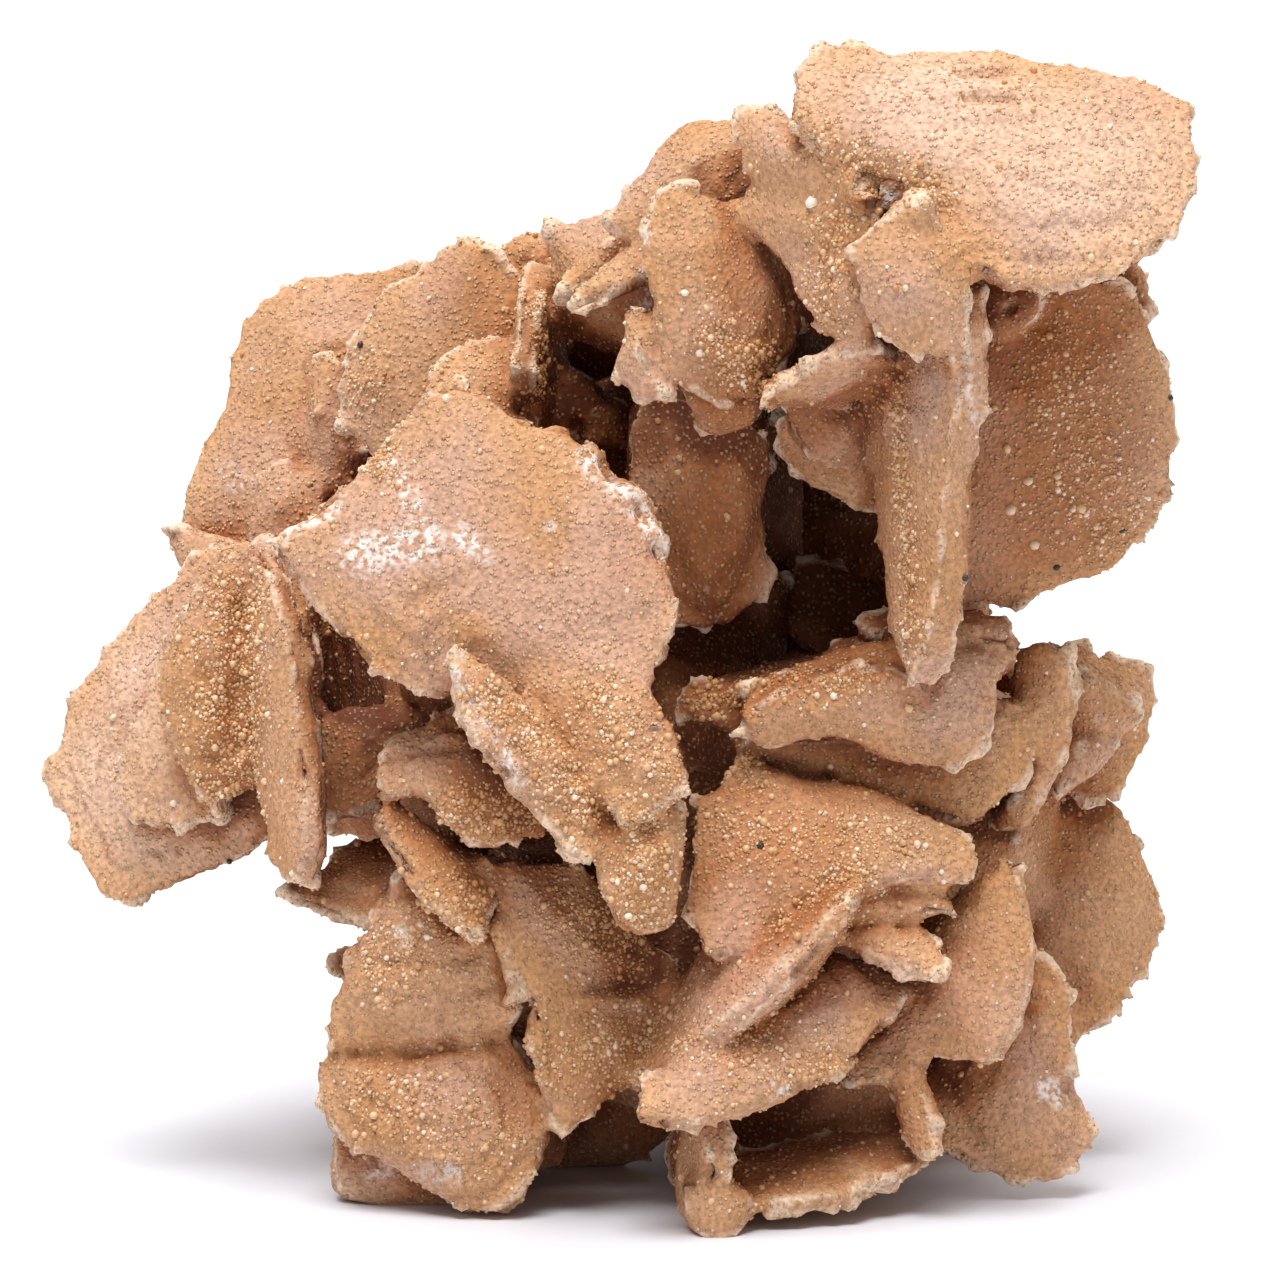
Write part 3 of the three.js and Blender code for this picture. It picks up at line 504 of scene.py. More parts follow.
@dataclass(frozen=True)
class SandyGypsum:
    """Gypsum that grew through dune sand: dull, faintly pink stone with grains locked in it.

    The eye sees a painted warm glow in its thin stretches, broken rims paler than the faces and
    partly a painted highlight, hollows stained red-brown and partly painted shade, and painted
    shade where blades close each other in.
    """

    body: str = "#CB9A72"
    powder: str = "#F6F0EA"
    stains: tuple[Stain, ...] = (
        Stain(Mark.OCHRE, 0.0, 1.0, 0.6, "#C68D58"),
        Stain(Mark.PINK, 0.0, 1.0, 0.8, "#CDA28A"),
        # Painted light on the outer blades that catch the back light
        Stain(Mark.PAINTED_LIGHT, 0.0, 0.8, 0.6, "#EFCBB2"),
        # Rust colour, partly painted shade where blades lie in the shadow of others
        Stain(Mark.RUST_AND_SHADE, 0.0, 0.8, 0.8, "#A66A40"),
        # Painted warm glow where the stone is thin
        Stain(Mark.GLOW, 0.0, 1.0, 0.35, "#E6B07A"),
        Stain(Mark.SAND, 0.1, 0.9, 0.45, "#BE8049"),
        # Orange-brown in the broad hollows: partly sand packed there, partly painted shade
        Stain(Mark.HOLLOW, 0.2, 1.0, 0.6, "#A9662F"),
        # Painted shade, deepening where the blades close each other in
        Stain(Mark.SHELTER_AND_SHADE, 0.1, 0.55, 0.75, "#A8612D"),
        Stain(Mark.SHELTER_AND_SHADE, 0.5, 0.9, 0.88, "#642C12"),
        # Rims paler than the faces: partly the stone there, partly a painted highlight where the
        # edges catch the back light
        Stain(Mark.RIM, 0.2, 0.85, 0.7, "#F5DABE"),
    )
    grain_mm: float = 0.32
    grain_share: float = 0.7
    grain_code: str = "#E8C39A"
    grain_tint: float = 0.5
    dome: tuple[float, float] = (0.12, 0.5)
    grit_mm: float = 0.3
    grit_tones: tuple[float, float] = (0.74, 1.16)
    relief_mm: float = 0.12
    roughness: tuple[float, float] = (0.62, 0.92)
    speck_mm: float = 0.45
    powder_most: float = 0.75

    def material(self) -> bpy.types.Material:
        """Makes the material of the blades.

        Returns:
            A dull stone, stained by where it lies and given painted glow, highlight and shade,
            with sand grains in its colour and relief.
        """
        made = bpy.data.materials.new("sandy_gypsum_grown")
        made.use_nodes = True
        tree = made.node_tree
        tree.nodes.clear()
        place = add_node(tree, "ShaderNodeTexCoord").outputs["Object"]
        bead = self._bead(tree, place)
        grit = add_node(
            tree,
            "ShaderNodeTexNoise",
            {"Vector": place, "Scale": 1 / (self.grit_mm * MM), "Detail": 1.0},
        ).outputs["Fac"]
        grained = self._grained(tree, bead, grit, self._stone(tree))
        height = add_node(tree, "ShaderNodeMath", {0: bead, 1: grit}, operation="ADD")
        relief = add_node(
            tree,
            "ShaderNodeBump",
            {"Height": height.outputs[0], "Distance": self.relief_mm * MM},
        )
        low, high = self.roughness
        rough = add_node(tree, "ShaderNodeMapRange", {0: grit, 3: low, 4: high})
        shader = add_node(
            tree,
            "ShaderNodeBsdfPrincipled",
            {
                "Base Color": self._powdered(tree, place, grained),
                "Roughness": rough.outputs[0],
                "Specular IOR Level": 0.3,
                "Normal": relief.outputs[0],
            },
        )
        add_node(tree, "ShaderNodeOutputMaterial", {"Surface": shader.outputs[0]})
        return made

    def _bead(
        self, tree: bpy.types.NodeTree, place: bpy.types.NodeSocket
    ) -> bpy.types.NodeSocket:
        """Adds the domes of grains that are locked into the stone.

        Args:
            tree: The material's node tree.
            place: The place on the object.

        Returns:
            The socket that gives 1 on top of a grain, down to 0 beside it.
        """
        cell = add_node(
            tree, "ShaderNodeTexVoronoi", {"Vector": place, "Scale": 1 / (self.grain_mm * MM)}
        )
        # Only some of the cells hold a grain
        chance = add_node(tree, "ShaderNodeSeparateColor", {0: cell.outputs["Color"]})
        edge = 1 - self.grain_share
        is_grain = add_node(
            tree, "ShaderNodeMapRange", {0: chance.outputs[0], 1: edge, 2: edge + 0.1}
        )
        top, foot = self.dome
        dome = add_node(
            tree,
            "ShaderNodeMapRange",
            {0: cell.outputs["Distance"], 1: top, 2: foot, 3: 1.0, 4: 0.0},
            interpolation_type="SMOOTHSTEP",
        )
        bead = add_node(
            tree,
            "ShaderNodeMath",
            {0: dome.outputs[0], 1: is_grain.outputs[0]},
            operation="MULTIPLY",
        )
        return bead.outputs[0]

    def _grained(
        self,
        tree: bpy.types.NodeTree,
        bead: bpy.types.NodeSocket,
        grit: bpy.types.NodeSocket,
        colour: bpy.types.NodeSocket,
    ) -> bpy.types.NodeSocket:
        """Adds the paler colour of the grains, and the light and dark of the grit.

        Args:
            tree: The material's node tree.
            bead: How much of a grain a place is.
            grit: How high the grit is there.
            colour: The colour of the stone.

        Returns:
            The socket that gives the colour with the grains in it.
        """
        share = add_node(tree, "ShaderNodeMapRange", {0: bead, 4: self.grain_tint})
        beaded = add_node(
            tree,
            "ShaderNodeMix",
            {0: share.outputs[0], 6: colour, 7: linear(self.grain_code)},
            data_type="RGBA",
        )
        dark, light = self.grit_tones
        tone = add_node(
            tree, "ShaderNodeMapRange", {0: grit, 1: 0.3, 2: 0.7, 3: dark, 4: light}
        ).outputs[0]
        grey = add_node(tree, "ShaderNodeCombineColor", {i: tone for i in range(3)})
        toned = add_node(
            tree,
            "ShaderNodeMix",
            {0: 1.0, 6: beaded.outputs[2], 7: grey.outputs[0]},
            data_type="RGBA",
            blend_type="MULTIPLY",
        )
        return toned.outputs[2]

    def _stone(self, tree: bpy.types.NodeTree) -> bpy.types.NodeSocket:
        """Adds the colour of the stone and the stains that follow its clouds and its shape, with
        the painted glow, highlight and shade among them.

        Args:
            tree: The material's node tree.

        Returns:
            The socket that gives the colour.
        """
        base = add_node(tree, "ShaderNodeRGB")
        base.outputs[0].default_value = linear(self.body)
        colour = base.outputs[0]
        for stain in self.stains:
            value = add_node(tree, "ShaderNodeAttribute", attribute_name=stain.mark.value)
            share = add_node(
                tree,
                "ShaderNodeMapRange",
                {0: value.outputs["Fac"], 1: stain.low, 2: stain.high, 4: stain.most},
            )
            layer = add_node(
                tree,
                "ShaderNodeMix",
                {0: share.outputs[0], 6: colour, 7: linear(stain.code)},
                data_type="RGBA",
            )
            colour = layer.outputs[2]
        return colour

    def _powdered(
        self,
        tree: bpy.types.NodeTree,
        place: bpy.types.NodeSocket,
        colour: bpy.types.NodeSocket,
    ) -> bpy.types.NodeSocket:
        """Adds white powder, which breaks up into specks at its edges.

        Args:
            tree: The material's node tree.
            place: The place on the object.
            colour: The colour under the powder.

        Returns:
            The socket that gives the colour with the powder on it.
        """
        value = add_node(tree, "ShaderNodeAttribute", attribute_name=Mark.POWDER.value)
        specks = add_node(
            tree,
            "ShaderNodeTexNoise",
            {"Vector": place, "Scale": 1 / (self.speck_mm * MM), "Detail": 1.0},
        )
        broken = add_node(tree, "ShaderNodeMapRange", {0: specks.outputs["Fac"], 1: 0.4, 2: 0.62})
        left = add_node(
            tree,
            "ShaderNodeMath",
            {0: value.outputs["Fac"], 1: broken.outputs[0]},
            operation="MULTIPLY",
        )
        share = add_node(
            tree, "ShaderNodeMapRange", {0: left.outputs[0], 1: 0.05, 2: 0.65, 4: self.powder_most}
        )
        layer = add_node(
            tree,
            "ShaderNodeMix",
            {0: share.outputs[0], 6: colour, 7: linear(self.powder)},
            data_type="RGBA",
        )
        return layer.outputs[2]


@dataclass(frozen=True)
class DuneSand:
    """Wind-rounded quartz grains with a film of iron oxide: dull beads from amber to clear."""

    dark: str = "#3A332E"
    amber: str = "#BC8148"
    straw: str = "#E3BC8E"
    clear: str = "#F8EEDD"

    def material(self) -> bpy.types.Material:
        """Makes the material of the loose-looking grains.

        Returns:
            Small beads whose colour goes from amber to clear by the value they carry.
        """
        made = bpy.data.materials.new("dune_sand_wind_rounded")
        made.use_nodes = True
        tree = made.node_tree
        tree.nodes.clear()
        shade = add_node(tree, "ShaderNodeAttribute", attribute_name=Mark.SHADE.value)
        colours = add_node(tree, "ShaderNodeValToRGB", {0: shade.outputs["Fac"]})
        stops = colours.color_ramp.elements
        stops[0].color = linear(self.dark)
        stops[1].color = linear(self.clear)
        for at, code in ((0.02, self.dark), (0.04, self.amber), (0.6, self.straw)):
            stops.new(at).color = linear(code)
        shader = add_node(
            tree,
            "ShaderNodeBsdfPrincipled",
            {"Base Color": colours.outputs[0], "Roughness": 0.4, "Specular IOR Level": 0.5},
        )
        add_node(tree, "ShaderNodeOutputMaterial", {"Surface": shader.outputs[0]})
        return made


@dataclass(frozen=True)
class WhiteSweep:
    """Matt white board of a studio table: the eye sees an even white without a grain."""

    board: str = "#E4E4EA"

    def material(self) -> bpy.types.Material:
        """Makes the material of the floor.

        Returns:
            An even matt white.
        """
        made = bpy.data.materials.new("white_board_painted")
        made.use_nodes = True
        tree = made.node_tree
        tree.nodes.clear()
        shader = add_node(
            tree,
            "ShaderNodeBsdfPrincipled",
            {"Base Color": linear(self.board), "Roughness": 0.5, "Specular IOR Level": 0.3},
        )
        add_node(tree, "ShaderNodeOutputMaterial", {"Surface": shader.outputs[0]})
        return made


@dataclass
class CrystalBlades:
    """The grown-together blades: their solid, worn and weathered in fine mesh.

    Of the wear, wave_mm to step_mm are heights, and wave_width_mm to step_width_mm are widths.
    """

    sheet: FrontSheet
    voxel_mm: float = 0.34
    soften: int = 6
    soften_share: float = 0.6
    rim_hold: float = 0.9
    crease_hold: float = 0.8
    edge_relief_mm: tuple[float, float] = (0.03, 0.1)
    thin_mm: tuple[float, float] = (0.9, 2.6)
    hollow_relief_mm: float = 0.42
    wave_mm: float = 0.2
    bump_mm: float = 0.09
    clump_mm: float = 0.3
    crease_mm: float = 0.35
    ragged_mm: float = 1.0
    chip_mm: float = 1.4
    step_mm: float = 0.25
    wave_width_mm: float = 6.5
    bump_widths_mm: tuple[float, float] = (2.2, 1.1)
    clump_widths_mm: tuple[float, float] = (1.3, 0.7)
    jag_widths_mm: tuple[float, float] = (1.5, 0.75)
    chip_width_mm: float = 2.6
    bend_width_mm: float = 2.4
    step_width_mm: float = 1.8
    step_reach_mm: tuple[float, float] = (4.0, 9.0)
    foot_mm: float = 0.7
    cloud_mm: float = 6.0
    outlook_mm: float = 30.0
    outlooks: int = 12

    def build(self, node: bpy.types.Object) -> bpy.types.Object:
        """Makes the worn blades from their plain solid.

        Args:
            node: The plain solid.

        Returns:
            The piece, with the values that its material and the sand read.
        """
        fine = self._remeshed(node)
        surface = Surface(fine)
        fields = self._worn(surface)
        piece = new_piece("crystal_blades", fine)
        self._thin_out(piece)
        self._write_marks(piece.data, surface, fields)
        LOG.info("crystal blades: %d triangles", len(piece.data.polygons))
        return piece

    def halves(self, whole: bpy.types.Object) -> list[bpy.types.Object]:
        """Parts the blades in a front and a back half, which share the points where they meet.

        Args:
            whole: The whole piece, which is removed.

        Returns:
            The front half and the back half.
        """
        mesh = whole.data
        depths = np.array([face.center.y for face in mesh.polygons])
        middle = np.median(depths)
        made = []
        for name, chosen in (("front", depths < middle), ("back", depths >= middle)):
            made.append(new_piece(f"{whole.name}_{name}", part_of(mesh, np.flatnonzero(chosen))))
        bpy.data.objects.remove(whole)
        return made

    def dress(self, piece: bpy.types.Object, stone: bpy.types.Material) -> None:
        """Gives a half of the blades its stone, and its place on the body.

        Args:
            piece: The half.
            stone: The material of the blades.
        """
        piece.data.materials.append(stone)
        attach(piece, BODY)
        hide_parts(NODE)

    def _remeshed(self, node: bpy.types.Object) -> bpy.types.Mesh:
        """Makes an even mesh of small squares from the solid.

        Args:
            node: The plain solid, which stays as it is.

        Returns:
            The solid's outer surface in that mesh.
        """
        scratch = new_piece("blades_scratch", node.data.copy())
        step = scratch.modifiers.new("even", "REMESH")
        step.mode = "VOXEL"
        step.voxel_size = self.voxel_mm * MM
        mesh = evaluated_mesh(scratch)
        bpy.data.objects.remove(scratch)
        return mesh

    def _relief(self, surface: Surface, normals: np.ndarray, rounds: int) -> np.ndarray:
        """Gives how far each vertex stands out of its surroundings, in metres."""
        level = surface.spread(surface.points, rounds)
        return np.sum((surface.points - level) * normals, axis=1)

    def _worn(self, surface: Surface) -> dict[Mark, np.ndarray]:
        """Wears the even mesh: softens its faces, and roughens its rims and faces.

        Args:
            surface: The even mesh, which is changed.

        Returns:
            How much of a rim, a thin stretch, a hollow and a sandy stretch each vertex is.
        """
        # Few rounds of averaging find the edges, many find the broad hollows
        normals = surface.write()
        low, high = self.edge_relief_mm
        relief = self._relief(surface, normals, 4)
        rim = ramp(relief, low * MM, high * MM)
        crease = ramp(-relief, low * MM, high * MM)
        foot = 1 - ramp(surface.points[:, 2], 0, self.foot_mm * MM)
        keep = np.maximum(np.maximum(self.rim_hold * rim, self.crease_hold * crease), foot)
        share = self.soften_share * (1 - keep)
        surface.points = surface.spread(surface.points, self.soften, share)
        rim = ramp(surface.spread(rim, 3), 0.05, 0.6)
        crease = surface.spread(crease, 2)
        normals = surface.write()
        wide = surface.spread(self._relief(surface, normals, 90), 8)
        hollow = ramp(-wide, 0, self.hollow_relief_mm * MM)
        tree = search_tree(surface)
        # Thin stretches, which get a painted warm glow in the stone's colour
        glow = surface.spread(self._thinness(surface, normals, tree), 3)

        start = surface.points.copy()
        sand = self._covered(SANDY, tree, start)
        lift = self._lift(surface, start, rim, np.maximum(sand, 0.6 * hollow))
        for stroke in CARVED:
            lift += stroke.strength(self.sheet, tree, start)
        lift -= self.crease_mm * crease
        shift = self._ragged(surface, start, normals, rim)
        surface.points = start + (normals * lift[:, None] + shift) * (1 - foot)[:, None] * MM
        surface.points[:, 2] = np.maximum(surface.points[:, 2], 0)
        surface.write()
        return {Mark.RIM: rim, Mark.GLOW: glow, Mark.HOLLOW: hollow, Mark.SAND: sand}

    def _covered(
        self, strokes: tuple[Stroke, ...], tree: BVHTree, points: np.ndarray
    ) -> np.ndarray:
        """Gives the most that any of the strokes covers each point."""
        return np.max([stroke.strength(self.sheet, tree, points) for stroke in strokes], axis=0)

    def _thinness(self, surface: Surface, normals: np.ndarray, tree: BVHTree) -> np.ndarray:
        """Measures how thin the stone behind each point is.

        Args:
            surface: The even mesh.
            normals: Its normals.
            tree: Its search tree.

        Returns:
            1 where the stone is thin, down to 0 where it is thick.
        """
        low, high = self.thin_mm
        depths = np.full(surface.count, high)
        for index, (point, normal) in enumerate(zip(surface.points, normals)):
            gap = tree.ray_cast(point - normal * 0.05 * MM, -normal, high * MM)[3]
            if gap is not None:
                depths[index] = gap / MM
        return 1 - ramp(depths, low, high)

    def _lift(
        self, surface: Surface, start: np.ndarray, rim: np.ndarray, sand: np.ndarray
    ) -> np.ndarray:
        """Adds up the waves and bumps, the clumps of sand and the growth steps of the faces.

        Args:
            surface: The even mesh.
            start: Its points, in metres.
            rim: How much of a rim each point is.
            sand: How much of each point's surface is sand.

        Returns:
            How far each point moves out of the surface, in millimetres.
        """
        wide, narrow = self.bump_widths_mm
        bumps = lattice_noise(start, wide, 2) + 0.7 * lattice_noise(start, narrow, 3)
        wide, narrow = self.clump_widths_mm
        clumps = lattice_noise(start, wide, 4) + 0.6 * lattice_noise(start, narrow, 7)
        lift = self.wave_mm * lattice_noise(start, self.wave_width_mm, 1)
        lift += self.bump_mm * bumps
        lift += self.clump_mm * sand * clumps
        # Growth steps follow the rim, wander a little, and show only here and there
        inland = self._from_rim(surface, rim)
        growth = (inland + 0.9 * lattice_noise(start, 4.0, 5)) / self.step_width_mm
        fading = 1 - ramp(inland, *self.step_reach_mm)
        stepped = ramp(lattice_noise(start, 9.0, 6), -0.15, 0.3) * fading
        lift += self.step_mm * stepped * (1 - growth % 1)
        return lift

    def _from_rim(self, surface: Surface, rim: np.ndarray) -> np.ndarray:
        """Measures how far each point lies from a rim.

        Args:
            surface: The even mesh.
            rim: How much of a rim each point is.

        Returns:
            The distance from the nearest rim, in millimetres.
        """
        crest = surface.points[rim > 0.8]
        finder = KDTree(len(crest))
        for index, point in enumerate(crest):
            finder.insert(point, index)
        finder.balance()
        return np.array([finder.find(point)[2] for point in surface.points]) / MM

    def _ragged(
        self, surface: Surface, start: np.ndarray, normals: np.ndarray, rim: np.ndarray
    ) -> np.ndarray:
        """Gives how the rims are jagged and chipped.

        Args:
            surface: The even mesh.
            start: Its points, in metres.
            normals: Its normals.
            rim: How much of a rim each point is.

        Returns:
            The move of each point, in millimetres.
        """
        out = surface.spread(normals, 5)
        out /= np.maximum(np.linalg.norm(out, axis=1, keepdims=True), 0.25)
        wide, narrow = self.jag_widths_mm
        jag = 0.6 * lattice_noise(start, wide, 9) + 0.4 * lattice_noise(start, narrow, 10)
        chip = ramp(lattice_noise(start, self.chip_width_mm, 8), 0.2, 0.5)
        shift = out * (rim * (self.ragged_mm * jag - self.chip_mm * chip))[:, None]
        bends = [lattice_noise(start, self.bend_width_mm, 11 + i) for i in range(3)]
        return shift + 0.5 * self.ragged_mm * rim[:, None] * np.stack(bends, axis=1)

    def _thin_out(self, piece: bpy.types.Object) -> None:
        """Takes out the triangles that flat stretches can spare.

        Args:
            piece: The whole piece, which gets the thinner mesh.
        """
        piece.data.calc_loop_triangles()
        step = piece.modifiers.new("thin", "DECIMATE")
        step.ratio = min(1, 2 * MOST_TRIANGLES / len(piece.data.loop_triangles))
        step.use_collapse_triangulate = True
        thinned = evaluated_mesh(piece)
        piece.modifiers.clear()
        old, piece.data = piece.data, thinned
        old.name = "blades_before"
        thinned.name = piece.name
        thinned.polygons.foreach_set("use_smooth", [True] * len(thinned.polygons))

    def _write_marks(
        self, mesh: bpy.types.Mesh, surface: Surface, fields: dict[Mark, np.ndarray]
    ) -> None:
        """Stores the values that the materials and the sand read.

        Args:
            mesh: The thinned mesh that gets them.
            surface: The even mesh that the fields were measured on.
            fields: The values measured there.
        """
        finder = KDTree(surface.count)
        for index, point in enumerate(surface.points):
            finder.insert(point, index)
        finder.balance()
        thin = Surface(mesh)
        nearest = np.array([finder.find(point)[1] for point in thin.points])
        for mark, values in fields.items():
            write_mark(mesh, mark, values[nearest])
        tree = search_tree(thin)
        # How closed in each point is: the sand thins out by it, and the colours darken by it as
        # painted shade
        write_mark(mesh, Mark.SHELTER_AND_SHADE, self._shelter_and_shade(thin, tree))
        # Powder is white gypsum; the lighter strokes are painted light; the rustier strokes are
        # rust colour with painted shade
        for mark, strokes in ((Mark.POWDER, POWDERED), (Mark.PAINTED_LIGHT, PAINTED_LIGHT), (Mark.RUST_AND_SHADE, RUSTY_AND_SHADED)):
            write_mark(mesh, mark, self._covered(strokes, tree, thin.points))
        blush = self._covered(BLUSHED, tree, thin.points)
        for mark, seed, more in ((Mark.PINK, 21, blush), (Mark.OCHRE, 22, 0)):
            clouds = lattice_noise(thin.points, self.cloud_mm, seed)
            clouds += 0.5 * lattice_noise(thin.points, self.cloud_mm / 2.3, seed + 2)
            write_mark(mesh, mark, ramp(clouds + more, -0.3, 0.6))

    def _shelter_and_shade(self, surface: Surface, tree: BVHTree) -> np.ndarray:
        """Gives how much of each point's outlook the blades close off, the sky counting most; the
        colours darken by it as painted shade.

        Args:
            surface: The mesh.
            tree: Its search tree.

        Returns:
            0 where the outlook is open, 1 where it is closed all round.
        """
        normals = surface.write()
        closed = np.zeros(surface.count)
        total = np.full(surface.count, 1e-9)
        golden = math.pi * (3 - math.sqrt(5))
        for step in range(self.outlooks):
            height = 1 - (2 * step + 1) / self.outlooks
            radius = math.sqrt(1 - height * height)
            turn = golden * step
            ray = Vector((radius * math.cos(turn), radius * math.sin(turn), height))
            facing = (normals @ np.array(ray)) * (1.2 + height)
            for index in np.flatnonzero(facing > 0.15):
                begin = surface.points[index] + normals[index] * 0.15 * MM
                hit = tree.ray_cast(begin, ray, self.outlook_mm * MM)[0]
                closed[index] += facing[index] * (hit is not None)
                total[index] += facing[index]
        return surface.spread(closed / total, 2)


class Beads:
    """Grains of sand as many small beads in one mesh."""

    def __init__(self, rounded: bool) -> None:
        """Works out the corners and triangles of one bead of radius 1.

        Args:
            rounded: Whether a bead has 20 triangles, for large grains, or 8.
        """
        if rounded:
            golden = (1 + 5**0.5) / 2
            ring = [(0, a, b * golden) for a in (-1, 1) for b in (-1, 1)]
            corners = np.array([p[i:] + p[:i] for i in range(3) for p in ring], dtype=float)
        else:
            corners = np.concatenate((np.eye(3), -np.eye(3)))
        self.corners = corners / np.linalg.norm(corners[0])
        gaps = np.linalg.norm(self.corners[:, None] - self.corners[None], axis=2)
        near = (gaps < 1.01 * gaps[gaps > 0].min()) & (gaps > 0)
        trios = [
            (i, j, k)
            for i, j, k in combinations(range(len(corners)), 3)
            if near[i, j] and near[j, k] and near[i, k]
        ]
        self.faces = np.array([self._outward(trio) for trio in trios])

    def mesh(
        self,
        name: str,
        middles: np.ndarray,
        radii: np.ndarray,
        shades: np.ndarray,
        rng: np.random.Generator,
    ) -> bpy.types.Mesh:
        """Joins one bead for each grain in one mesh.

        Args:
            name: The mesh's name.
            middles: The middle of each grain, in metres.
            radii: The radius of each grain, in metres.
            shades: How light each grain is, from 0 to 1.
            rng: The source of chance, for the turn and the shape of each grain.

        Returns:
            The joined mesh, with smooth faces.
        """
        count = len(middles)
        stretch = rng.uniform(0.75, 1.15, (count, 1, 3)) * radii[:, None, None]
        turned = np.einsum("nij,nkj->nki", self._turns(rng, count), self.corners[None] * stretch)
        points = turned + middles[:, None]
        points[..., 2] = np.maximum(points[..., 2], 0)
        per_grain = len(self.corners)
        corners = (self.faces[None] + np.arange(count)[:, None, None] * per_grain).ravel()
        mesh = bpy.data.meshes.new(name)
        mesh.vertices.add(count * per_grain)
        mesh.vertices.foreach_set("co", points.ravel())
        mesh.loops.add(len(corners))
        mesh.loops.foreach_set("vertex_index", corners.astype(np.int32))
        mesh.polygons.add(len(corners) // 3)
        mesh.polygons.foreach_set("loop_start", np.arange(0, len(corners), 3, dtype=np.int32))
        mesh.polygons.foreach_set("use_smooth", np.ones(len(corners) // 3, dtype=bool))
        mesh.update(calc_edges=True)
        write_mark(mesh, Mark.SHADE, np.repeat(shades, per_grain))
        return mesh

    def _outward(self, trio: tuple[int, int, int]) -> tuple[int, int, int]:
        """Orders three corners so that their triangle faces out.

        Args:
            trio: The numbers of the three corners.

        Returns:
            The same numbers, in the order that faces out.
        """
        one, two, three = self.corners[list(trio)]
        out = np.cross(two - one, three - one) @ one > 0
        return trio if out else (trio[0], trio[2], trio[1])

    def _turns(self, rng: np.random.Generator, count: int) -> np.ndarray:
        """Draws a random turn for each grain.

        Args:
            rng: The source of chance.
            count: How many grains there are.

        Returns:
            One turning matrix for each grain.
        """
        quaternion = rng.standard_normal((count, 4))
        w, x, y, z = (quaternion / np.linalg.norm(quaternion, axis=1, keepdims=True)).T
        rows = [
            [1 - 2 * (y * y + z * z), 2 * (x * y - w * z), 2 * (x * z + w * y)],
            [2 * (x * y + w * z), 1 - 2 * (x * x + z * z), 2 * (y * z - w * x)],
            [2 * (x * z - w * y), 2 * (y * z + w * x), 1 - 2 * (x * x + y * y)],
        ]
        return np.moveaxis(np.array(rows), 2, 0)


class Sand:
    """What all the pieces of sand share."""

    def dress(self, piece: bpy.types.Object, sand: bpy.types.Material) -> None:
        """Gives the sand its material, and its place on the body.

        Args:
            piece: The piece of sand.
            sand: The material of the grains.
        """
        piece.data.materials.append(sand)
        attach(piece, BODY)


